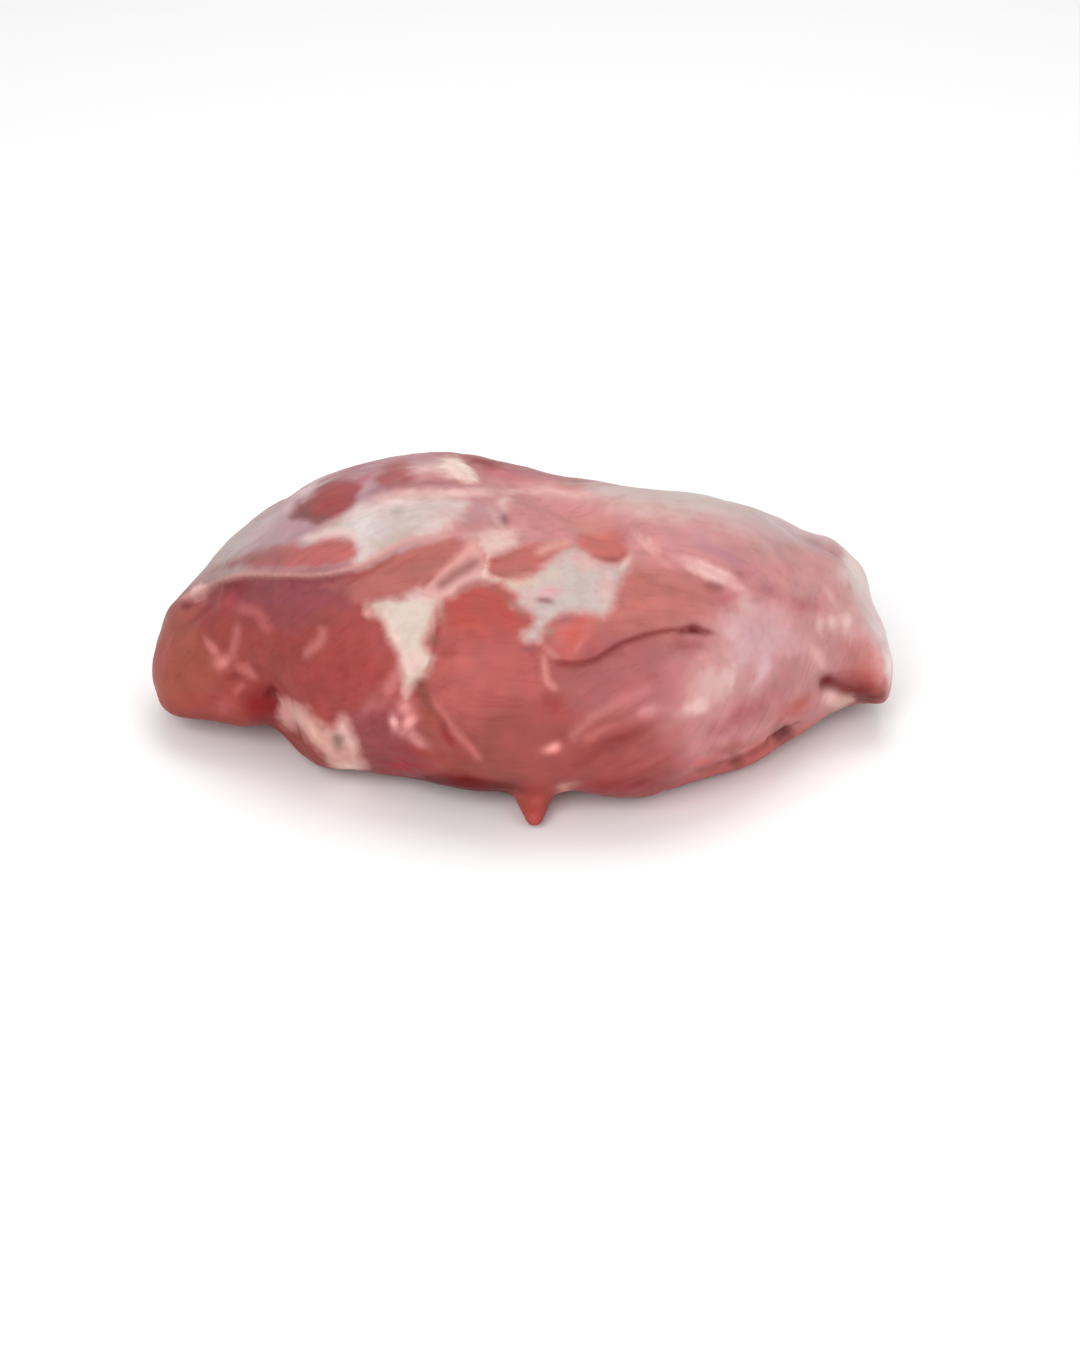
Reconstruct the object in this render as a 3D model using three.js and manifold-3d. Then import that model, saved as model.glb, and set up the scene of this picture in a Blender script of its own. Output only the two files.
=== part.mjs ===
// A boneless veal shoulder lying on a table, as one solid in millimetres, +Z up.
// The body is lofted through stations along its length, as a ship's hull is.
// Muscles, seams, folds and the gash are then raised or sunk along its surface.
// +X runs along the length, and -Y is the show side.
// The origin is on the table, under the middle of the finished solid.
import * as THREE from "three";
import { mergeVertices } from "three/addons/utils/BufferGeometryUtils.js";
import Module from "manifold-3d";

// Driving dimensions
const LENGTH = 330;
const MEAT_COLOUR = 0xb05a52;
const MEAT_ROUGHNESS = 0.45;

// Lines of the body, one value for each station. Stations are evenly spaced in angle
// round half a circle whose diameter is the length, so they crowd towards the round ends.
const LINES = {
  front: [14, -12, -26, -42, -68, -84, -91, -92, -76, -46, -18, -13, 10],
  back: [14, 31, 52, 76, 94, 102, 93, 87, 83, 79, 69, 33, 10],
  top: [26, 39, 57, 83, 103, 111, 105, 99, 95, 80, 67, 42, 26],
  bottom: [26, 9, 5, 1, -5, -8, -8, -8, -7, -3, 7, 9, 26],
};
const BELT_SHARE = 0.44; // height of the widest level, as a share of the section's height
const UPPER_FULLNESS = 2.15; // 2 is an ellipse, and more is fuller towards the corners
const LOWER_FULLNESS = 2.25;

// Fineness of the surface
const STATION_COUNT = 62;
const ROUND_COUNT = 84;
const MIDDLE_CROWDING = 0.2; // moves stations from the ends to the middle
const SHOW_CROWDING = 0.34; // moves points of a ring from the underside to the show side
const SHOW_ANGLE = THREE.MathUtils.degToRad(135);
const CURVE_STEPS = 6; // straight pieces for each control point of a seam
const NORMAL_STEP = 1e-3;

// The tag of meat that lies on the table in front, from its root inside the body to its tip
const TAG = { root: [6, -48, 10], tip: [5, -92.5, 5], rootRadius: 13, tipRadius: 5 };
const TAG_SIDES = 14;
const TAG_STEPS = 7;

// Relief is laid out as it is seen by an eye above the table, on the show side or behind.
// A place is [across, up] in millimetres, on the plane through AIM that faces that eye.
const EYE_ELEVATION = THREE.MathUtils.degToRad(30);
const EYE_DISTANCE = 1600;
const AIM_HEIGHT = 55;
const FACING_FADE = [0.02, 0.3]; // relief fades where the surface turns away from the eye

// Ridges and grooves follow a curve, ledges step down across it, and mounds are round.
const RELIEF = {
  show: [
    // The lip of the silverskin sheet over the front muscle
    {
      ledge: [[-156, 0], [-146, 7], [-134, 13], [-98, 16], [-76, 18], [-45, 29], [-32, 31]],
      width: 7,
      height: 3,
    },
    // The seam that runs from the top down the left side of the large muscle
    { groove: [[-10, 33], [-36, 7], [-43, -33], [-36, -51], [-8, -77]], width: 6, height: 3.4 },
    // The seam on its right side
    { groove: [[-8, 10], [3, -11], [11, -21], [17, -53]], width: 6, height: 2.2 },
    // The gash, and the lip above it
    { groove: [[15, -20], [34, -19], [52, -12], [67, -9], [77, -8], [86, -10]], width: 5, height: 4.5 },
    { ledge: [[15, -20], [34, -19], [52, -12], [67, -9], [77, -8], [90, -10]], width: 8, height: 2.4 },
    // The fat ridge along the upper right muscle
    { ledge: [[47, 33], [67, 19], [94, 11], [111, -4]], width: 7, height: 2.2 },
    // The fold under the left lobe
    { groove: [[-119, -26], [-110, -36], [-107, -44], [-104, -57]], width: 6, height: 6 },
    // The hollow under the hooked lobe at the right end
    { groove: [[131, -30], [138, -33], [145, -37], [153, -42]], width: 5.5, height: 6 },
    // The fold along the lower right edge
    { groove: [[135, -44], [107, -59], [80, -74], [65, -79]], width: 5, height: 3.6 },
    // The seam between the lower left strips
    { groove: [[-80, -44], [-70, -56], [-56, -70]], width: 6, height: 3 },
    // The front muscle, the large muscle, the right muscle and the upper right muscle
    { mound: [-100, -12], radii: [42, 24], turn: -5, height: 4.5 },
    { mound: [-14, -32], radii: [27, 44], turn: 8, height: 6 },
    { mound: [70, -38], radii: [52, 20], turn: 22, height: 5 },
    { mound: [88, 34], radii: [52, 16], turn: -14, height: 4 },
    // Low swellings that show through the silverskin
    { mound: [24, 14], radii: [22, 14], turn: 10, height: 2.5 },
    { mound: [-88, 50], radii: [16, 7], turn: 25, height: 2.5 },
    { mound: [-90, 27], radii: [20, 6], turn: 5, height: 2.5 },
    // The left lobe and the hooked lobe
    { mound: [-148, -22], radii: [16, 26], turn: 0, height: 3 },
    { mound: [152, -24], radii: [11, 20], turn: 0, height: 4 },
  ],
  back: [
    { groove: [[-150, 4], [-110, -6], [-60, 6], [-10, 24], [40, 40]], width: 7, height: 4.5 },
    { groove: [[-20, -62], [10, -30], [50, -6], [100, 2], [150, -6]], width: 6, height: 4.5 },
    { ledge: [[-90, 60], [-50, 52], [-5, 56], [30, 48]], width: 7, height: 2.4 },
    { mound: [-95, -26], radii: [52, 20], turn: -8, height: 5 },
    { mound: [10, 6], radii: [60, 18], turn: 16, height: 5 },
    { mound: [80, -34], radii: [48, 20], turn: 10, height: 5 },
    { mound: [100, 26], radii: [44, 16], turn: -12, height: 4 },
  ],
};
const EYE_SIDE = { show: -1, back: 1 };

// The value of a line between its stations, by a Catmull-Rom curve through them.
function lineAt(values, at) {
  const last = values.length - 1;
  const i = Math.min(Math.floor(at), last - 1);
  const f = at - i;
  const value = (k) => {
    if (k < 0) return 2 * values[0] - values[1];
    if (k > last) return 2 * values[last] - values[last - 1];
    return values[k];
  };
  const [a, b, c, d] = [value(i - 1), value(i), value(i + 1), value(i + 2)];
  return b + 0.5 * f * (c - a + f * (2 * a - 5 * b + 4 * c - d + f * (3 * (b - c) + d - a)));
}

// The point of the bare body at an angle along it, from 0 to PI, and an angle round it.
function bodyPoint(along, round) {
  const at = (along / Math.PI) * (LINES.top.length - 1);
  const front = lineAt(LINES.front, at);
  const back = lineAt(LINES.back, at);
  const top = lineAt(LINES.top, at);
  const bottom = lineAt(LINES.bottom, at);
  const belt = bottom + BELT_SHARE * (top - bottom);
  const c = Math.cos(round);
  const s = Math.sin(round);
  const power = 2 / (s > 0 ? UPPER_FULLNESS : LOWER_FULLNESS);
  const y = (front + back) / 2 + ((back - front) / 2) * Math.sign(c) * Math.abs(c) ** power;
  const z = belt + (s > 0 ? top - belt : belt - bottom) * Math.sign(s) * Math.abs(s) ** power;
  return new THREE.Vector3((-LENGTH / 2) * Math.cos(along), y, z);
}

// The outward normal of the bare body there.
function bodyNormal(along, round) {
  const inner = THREE.MathUtils.clamp(along, 2 * NORMAL_STEP, Math.PI - 2 * NORMAL_STEP);
  const alongWay = bodyPoint(inner + NORMAL_STEP, round).sub(bodyPoint(inner - NORMAL_STEP, round));
  const roundWay = bodyPoint(inner, round + NORMAL_STEP).sub(bodyPoint(inner, round - NORMAL_STEP));
  return roundWay.cross(alongWay).normalize();
}

// Where the eye on one side sees a point, and how squarely the surface faces it there.
function seen(point, normal, side) {
  const sine = Math.sin(EYE_ELEVATION);
  const cosine = Math.cos(EYE_ELEVATION);
  const away = -side * point.y;
  const height = point.z - AIM_HEIGHT;
  const scale = EYE_DISTANCE / (EYE_DISTANCE + away * cosine - height * sine);
  const place = new THREE.Vector2(point.x, away * sine + height * cosine).multiplyScalar(scale);
  const squareness = side * normal.y * cosine + normal.z * sine;
  return { place, facing: THREE.MathUtils.smoothstep(squareness, ...FACING_FADE) };
}

// How far a place is from a curve, above zero on its left hand as it runs.
function signedDistance(place, curve) {
  let best = Infinity;
  let sign = 1;
  for (let i = 0; i + 1 < curve.length; i++) {
    const way = curve[i + 1].clone().sub(curve[i]);
    const from = place.clone().sub(curve[i]);
    const share = THREE.MathUtils.clamp(from.dot(way) / way.lengthSq(), 0, 1);
    const distance = from.clone().addScaledVector(way, -share).length();
    if (distance >= best) continue;
    best = distance;
    sign = Math.sign(way.cross(from)) || 1;
  }
  return sign * best;
}

// Each kind of relief as a function of a place, in millimetres along the normal.
const bell = (x) => Math.exp(-x * x);
function sampled(controls) {
  const curve = new THREE.SplineCurve(controls.map(([x, y]) => new THREE.Vector2(x, y)));
  return curve.getPoints(controls.length * CURVE_STEPS);
}
function ridge(controls, width, height) {
  const curve = sampled(controls);
  return (place) => height * bell(signedDistance(place, curve) / width);
}
function ledge(controls, width, height) {
  const curve = sampled(controls);
  return (place) => {
    const distance = signedDistance(place, curve) / width;
    return height * Math.tanh(2 * distance) * bell(distance / 2);
  };
}
function mound([x, y], radii, turn, height) {
  const angle = THREE.MathUtils.degToRad(turn);
  const centre = new THREE.Vector2(x, y);
  return (place) => {
    const from = place.clone().rotateAround(centre, -angle).sub(centre);
    return height * bell(Math.hypot(from.x / radii[0], from.y / radii[1]));
  };
}
function reliefOf(feature) {
  const { width, height } = feature;
  if (feature.groove) return ridge(feature.groove, width, -height);
  if (feature.ridge) return ridge(feature.ridge, width, height);
  if (feature.ledge) return ledge(feature.ledge, width, height);
  return mound(feature.mound, feature.radii, feature.turn, height);
}
const reliefs = Object.entries(RELIEF).map(([name, features]) => [EYE_SIDE[name], features.map(reliefOf)]);

// A point of the finished skin of the body.
function skinPoint(along, round) {
  const point = bodyPoint(along, round);
  const normal = bodyNormal(along, round);
  let rise = 0;
  for (const [side, features] of reliefs) {
    const { place, facing } = seen(point, normal, side);
    if (facing > 0) rise += facing * features.reduce((sum, relief) => sum + relief(place), 0);
  }
  return point.addScaledVector(normal, rise);
}

// The angle of one point of a ring: points crowd round the angle that faces the show side.
function ringAngle(j) {
  const even = (2 * Math.PI * j) / ROUND_COUNT;
  return even - SHOW_CROWDING * Math.sin(even - SHOW_ANGLE);
}

// The closed skin: rings of points between one point at each end.
function bodyGeometry() {
  const points = [skinPoint(0, 0)];
  for (let i = 1; i < STATION_COUNT; i++) {
    const even = (Math.PI * i) / STATION_COUNT;
    const along = even + MIDDLE_CROWDING * Math.sin(2 * even);
    for (let j = 0; j < ROUND_COUNT; j++) points.push(skinPoint(along, ringAngle(j)));
  }
  points.push(skinPoint(Math.PI, 0));
  const ring = (i, j) => 1 + (i - 1) * ROUND_COUNT + (j % ROUND_COUNT);
  const index = [];
  for (let j = 0; j < ROUND_COUNT; j++) {
    index.push(0, ring(1, j + 1), ring(1, j));
    for (let i = 1; i < STATION_COUNT - 1; i++) {
      const [a, b, c, d] = [ring(i, j), ring(i + 1, j), ring(i + 1, j + 1), ring(i, j + 1)];
      index.push(a, c, b, a, d, c);
    }
    index.push(ring(STATION_COUNT - 1, j), ring(STATION_COUNT - 1, j + 1), points.length - 1);
  }
  return new THREE.BufferGeometry().setFromPoints(points).setIndex(index);
}

// The tag: a rounded cone from its root to its tip.
function tagGeometry() {
  const { rootRadius, tipRadius } = TAG;
  const root = new THREE.Vector3(...TAG.root);
  const way = new THREE.Vector3(...TAG.tip).sub(root);
  const profile = [new THREE.Vector2(0, 0), new THREE.Vector2(rootRadius, 0)];
  const straight = way.length() - tipRadius;
  for (let i = 0; i < TAG_STEPS; i++) {
    const angle = (Math.PI / 2) * (i / TAG_STEPS);
    profile.push(new THREE.Vector2(tipRadius * Math.cos(angle), straight + tipRadius * Math.sin(angle)));
  }
  profile.push(new THREE.Vector2(0, way.length()));
  const geometry = new THREE.LatheGeometry(profile, TAG_SIDES);
  const turn = new THREE.Quaternion().setFromUnitVectors(new THREE.Vector3(0, 1, 0), way.clone().normalize());
  return geometry.applyQuaternion(turn).translate(root.x, root.y, root.z);
}

// three.js geometry to a solid and back
const wasm = await Module();
wasm.setup();
function solidOf(geometry) {
  const bare = geometry.clone();
  bare.deleteAttribute("normal");
  bare.deleteAttribute("uv");
  const merged = mergeVertices(bare, 1e-4);
  return new wasm.Manifold(
    new wasm.Mesh({
      numProp: 3,
      vertProperties: merged.attributes.position.array,
      triVerts: new Uint32Array(merged.index.array),
    }),
  );
}
function geometryOf(solid) {
  const { numProp, vertProperties, triVerts } = solid.getMesh();
  const buffer = new THREE.InterleavedBuffer(vertProperties, numProp);
  return new THREE.BufferGeometry()
    .setAttribute("position", new THREE.InterleavedBufferAttribute(buffer, 3, 0))
    .setIndex([...triVerts]);
}

// What lies below the table top is cut off, which leaves the flat face that the meat rests on.
function belowTable() {
  const side = 2 * LENGTH;
  return new THREE.BoxGeometry(side, side, side).translate(0, 0, -side / 2);
}

const whole = solidOf(bodyGeometry()).add(solidOf(tagGeometry())).subtract(solidOf(belowTable()));
const geometry = geometryOf(whole).toNonIndexed();
geometry.computeBoundingBox();
const { min, max } = geometry.boundingBox;
geometry.translate(-(min.x + max.x) / 2, -(min.y + max.y) / 2, -min.z);
geometry.computeVertexNormals();

const shoulder = new THREE.Mesh(
  geometry,
  new THREE.MeshStandardMaterial({ color: MEAT_COLOUR, roughness: MEAT_ROUGHNESS, metalness: 0 }),
);
shoulder.name = "veal_shoulder";

const part = new THREE.Group();
part.add(shoulder);
export default part;
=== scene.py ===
# A raw boneless veal shoulder: its fine mesh, its moist skin of muscle, silverskin and fat,
# and a plain studio.
import math
from collections import namedtuple

import bpy
import numpy as np
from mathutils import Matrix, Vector


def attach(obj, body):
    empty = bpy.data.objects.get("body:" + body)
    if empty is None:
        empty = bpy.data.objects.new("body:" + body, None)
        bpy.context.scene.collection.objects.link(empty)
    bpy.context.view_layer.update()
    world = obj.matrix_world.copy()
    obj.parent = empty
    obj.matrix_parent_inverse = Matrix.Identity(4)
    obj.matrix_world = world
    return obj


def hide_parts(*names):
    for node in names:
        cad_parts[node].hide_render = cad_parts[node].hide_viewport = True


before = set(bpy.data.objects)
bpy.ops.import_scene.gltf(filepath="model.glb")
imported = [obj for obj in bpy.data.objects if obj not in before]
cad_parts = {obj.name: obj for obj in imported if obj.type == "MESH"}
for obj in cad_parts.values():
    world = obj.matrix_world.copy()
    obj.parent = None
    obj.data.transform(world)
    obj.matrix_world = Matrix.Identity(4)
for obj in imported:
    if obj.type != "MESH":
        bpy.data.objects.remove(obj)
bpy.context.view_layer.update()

MM = 0.001

# The photograph's view. AIM is the point that the eye looks at, and a view's plane passes through it.
PHOTO_WIDTH = 1080
PHOTO_HEIGHT = 1350
ELEVATION = 30.0
EYE_DISTANCE = 1.6  # metres
AIM = np.array([0.0, -3.3, 55.0]) * MM
AIM_PIXEL = np.array([522.5, 614.0])
PIXELS_PER_MM = 2.27
SENSOR = 36.0  # height of the camera's sensor, in mm

# Fineness of the mesh
COARSE_VOXEL = 2.0 * MM
FINE_VOXEL = 1.42 * MM
FACET_SMOOTHING = 14
VOXEL_SMOOTHING = 4

# Curves and outlines, in millimetres on a view's plane
CURVE_STEPS = 5  # straight pieces between two points of a curve
REACH = 12.0  # beyond this distance a curve or an outline has no effect

# Colours as the photograph shows them, red, green and blue out of 255
RUSSET = (166, 89, 78)
ROSE = (161, 78, 75)
PLUM = (151, 78, 86)
WINE = (146, 60, 66)
BRICK = (182, 82, 74)
BLUSH = (190, 98, 94)
SALMON = (206, 126, 118)
PINK = (207, 140, 138)
HOT_PINK = (208, 114, 128)
MAUVE = (189, 116, 130)
LILAC = (194, 158, 161)
DUSTY_PINK = (188, 130, 130)
ASH_PINK = (188, 162, 158)
ASH = (211, 192, 186)
PALE_LILAC = (210, 170, 174)
MILK = (225, 212, 206)
CREAM = (226, 202, 189)
BRIGHT_FAT = (240, 204, 195)
RIM = (236, 180, 170)
THREAD = (222, 150, 142)
VEIN = (204, 114, 112)
# The next three colours are painted shade, the dark of grooves, folds, the cleft and the bottom edge; the
# first is blood as well
BLOOD_AND_SHADE = (146, 46, 46)
SHADE_MAROON = (100, 26, 30)
SHADE_UMBER = (126, 66, 58)
# A white card in the studio's light shows this bright, so colours are darkened by as much
WHITE_CARD = 1.28


def rgb(colour):
    """The surface colour, in linear light, that shows as a colour out of 255."""
    share = np.asarray(colour, float) / 255
    return np.where(share <= 0.04045, share / 12.92, ((share + 0.055) / 1.055) ** 2.4) / WHITE_CARD


class View:
    """The plane through AIM that faces an eye, in millimetres across and up."""

    def __init__(self, azimuth, elevation=ELEVATION):
        turn = math.radians(azimuth)
        rise = math.radians(elevation)
        level = np.array([-math.sin(turn), math.cos(turn), 0.0])
        self.forward = level * math.cos(rise) - np.array([0.0, 0.0, math.sin(rise)])
        self.right = np.array([math.cos(turn), math.sin(turn), 0.0])
        self.up = np.cross(self.right, self.forward)
        self.eye = AIM - EYE_DISTANCE * self.forward

    def places(self, points):
        """Where the eye sees each point."""
        away = points - self.eye
        scale = EYE_DISTANCE / MM / (away @ self.forward)
        return np.column_stack([away @ self.right, away @ self.up]) * scale[:, None]

    def facing(self, points, normals):
        """How squarely the surface faces the eye: 1 squarely, 0 edge on, and less than 0 turned away."""
        to_eye = self.eye - points
        to_eye /= np.linalg.norm(to_eye, axis=1)[:, None]
        return np.einsum("ij,ij->i", normals, to_eye)

    def way(self, angle):
        """The direction in the plane at an angle from level, in degrees."""
        turn = math.radians(angle)
        return self.right * math.cos(turn) + self.up * math.sin(turn)


show = View(0)
rear = View(180)


def photo(pixels):
    """One or more pixels of the photograph as places on the show side's plane."""
    away = np.asarray(pixels, float) - AIM_PIXEL
    return away * [1, -1] / PIXELS_PER_MM


def curve_through(points, closed=False):
    """A Catmull-Rom curve through a few points, as many short straight pieces."""
    points = np.asarray(points, float)
    if closed:
        spread = np.vstack([points[-1], points, points[:2]])
    else:
        spread = np.vstack([2 * points[0] - points[1], points, 2 * points[-1] - points[-2]])
    share = np.linspace(0, 1, CURVE_STEPS, endpoint=False)[:, None]
    pieces = []
    for a, b, c, d in zip(spread, spread[1:], spread[2:], spread[3:]):
        bend = 2 * a - 5 * b + 4 * c - d + share * (3 * (b - c) + d - a)
        pieces.append(b + 0.5 * share * (c - a + share * bend))
    pieces.append(spread[-2][None])
    return np.vstack(pieces)


def nearest(curve, places):
    """For each place: its distance from the curve, its side (1 is left) and the share passed."""
    distance = np.full(len(places), REACH)
    side = np.ones(len(places))
    passed = np.zeros(len(places))
    close = ((places > curve.min(0) - REACH) & (places < curve.max(0) + REACH)).all(1)
    rows = np.flatnonzero(close)
    for i, (start, end) in enumerate(zip(curve, curve[1:])):
        way = end - start
        length = way @ way
        if length == 0:
            continue
        away = places[rows] - start
        share = np.clip(away @ way / length, 0, 1)
        gap = np.linalg.norm(away - share[:, None] * way, axis=1)
        nearer = gap < distance[rows]
        hit = rows[nearer]
        distance[hit] = gap[nearer]
        side[hit] = np.where(way[0] * away[nearer, 1] - way[1] * away[nearer, 0] < 0, -1, 1)
        passed[hit] = (i + share[nearer]) / (len(curve) - 1)
    return distance, side, passed


def depth_inside(outline, places):
    """Distance inside a closed curve, below zero outside it."""
    distance, _, _ = nearest(outline, places)
    inside = np.zeros(len(places), bool)
    for start, end in zip(outline, outline[1:]):
        crosses = (start[1] > places[:, 1]) != (end[1] > places[:, 1])
        if crosses.any():
            level = places[crosses, 1] - start[1]
            at = start[0] + level * (end[0] - start[0]) / (end[1] - start[1])
            inside[crosses] ^= places[crosses, 0] < at
    return np.where(inside, distance, -distance)


def smoothstep(low, high, value):
    share = np.clip((value - low) / (high - low), 0, 1)
    return share * share * (3 - 2 * share)


def bell(value):
    return np.exp(-value * value)


def tapered(passed, ends):
    """1 along a curve, falling to 0 at its two ends over that share of its length."""
    return smoothstep(0, ends, passed) * smoothstep(0, ends, 1 - passed)


# Smooth noise, from numbers drawn once on a lattice that repeats
LATTICE = 32
NOISE_SEED = 11
OCTAVE_SHIFT = 7.3
lattice = np.random.default_rng(NOISE_SEED).uniform(-1, 1, (LATTICE, LATTICE, LATTICE))


def noise(points, size, shift=0.0):
    """Noise from -1 to 1 whose blobs are about size across. points and size are in millimetres."""
    cells = points / size + shift
    low = np.floor(cells).astype(int)
    share = cells - low
    share = share * share * (3 - 2 * share)
    total = np.zeros(len(points))
    for corner in np.ndindex(2, 2, 2):
        weight = np.prod(np.where(corner, share, 1 - share), axis=1)
        i, j, k = ((low + corner) % LATTICE).T
        total += weight * lattice[i, j, k]
    return total


def rough_noise(points, size, octaves=3, shift=0.0):
    """Noise with finer and weaker noise added to it."""
    return sum(noise(points, size / 2**n, shift + OCTAVE_SHIFT * n) / 2**n for n in range(octaves))


# Muscles: the colour of each and the way its fibres run, strongest at its middle and blended between.
# Fibres run along one of a few ways on the show side's plane, in degrees from level.
GRAIN_ANGLES = (0, 30, 62, -16)
LEVEL, RISING, STEEP, FALLING = range(len(GRAIN_ANGLES))
Muscle = namedtuple("Muscle", "name colour grain middle radii turn")
# Dabs: soft ovals of another colour over them and over the stains
Dab = namedtuple("Dab", "name colour strength middle radii turn")


def blobs_from_photo(kind, rows):
    """Muscles, dabs or mounds whose middles and radii are in pixels of the photograph."""
    return [
        kind(*start, photo(middle), np.array(radii) / PIXELS_PER_MM, turn)
        for *start, middle, radii, turn in rows
    ]


def curves_from_photo(kind, rows):
    """Patches, lines or creases whose last value is a list of pixels of the photograph."""
    return [kind(*start, photo(pixels)) for *start, pixels in rows]


SHOW_MUSCLES = blobs_from_photo(Muscle, [
    ("left lobe", (166, 86, 70), LEVEL, (182, 660), (30, 60), 0),
    ("left lobe's foot", (162, 70, 62), LEVEL, (205, 708), (50, 18), 0),
    ("front muscle", (158, 72, 66), RISING, (270, 645), (66, 46), 0),
    ("under the lip", PLUM, LEVEL, (290, 594), (90, 14), 0),
    ("beside the fat", (166, 73, 68), RISING, (366, 655), (30, 46), 0),
    ("under the red band", ROSE, RISING, (345, 612), (34, 18), 0),
    ("left shoulder", ASH_PINK, RISING, (230, 548), (60, 26), 45),
    ("upper left", LILAC, RISING, (330, 505), (100, 34), 25),
    ("top", PINK, FALLING, (440, 480), (70, 20), 0),
    ("top ridge", DUSTY_PINK, FALLING, (500, 462), (60, 10), -10),
    ("middle of the top", PINK, RISING, (560, 515), (70, 24), -8),
    ("large muscle's top", BRICK, LEVEL, (485, 610), (40, 24), 0),
    ("large muscle", (184, 95, 90), LEVEL, (490, 668), (56, 40), 0),
    ("large muscle's foot", (160, 81, 74), LEVEL, (515, 742), (44, 34), 0),
    ("lower left strip", (150, 72, 72), RISING, (375, 742), (26, 36), 0),
    ("under the fat", (148, 56, 48), FALLING, (306, 746), (26, 14), -35),
    # Painted shade: the dark band along the bottom edge
    ("front foot", SHADE_MAROON, LEVEL, (462, 788), (44, 6), 0),
    ("over the gash", (186, 109, 102), LEVEL, (660, 600), (56, 30), 10),
    ("under the gash", (174, 98, 97), RISING, (625, 680), (60, 34), -10),
    ("lower middle", ROSE, RISING, (600, 755), (60, 30), 0),
    ("right muscle", PINK, STEEP, (730, 680), (60, 62), -20),
    ("upper right", PINK, FALLING, (700, 545), (90, 30), -12),
    ("right shoulder", (236, 212, 212), FALLING, (740, 505), (110, 12), -20),
    ("right end", (206, 148, 146), STEEP, (825, 620), (40, 60), 0),
    ("right rim", (224, 206, 200), STEEP, (870, 600), (50, 12), -66),
    ("hooked lobe", BLUSH, LEVEL, (862, 678), (26, 18), 0),
    ("lower right strip", (200, 100, 96), RISING, (745, 765), (80, 10), 25),
    ("tag", BRICK, STEEP, (533, 810), (30, 18), 0),
])
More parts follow.
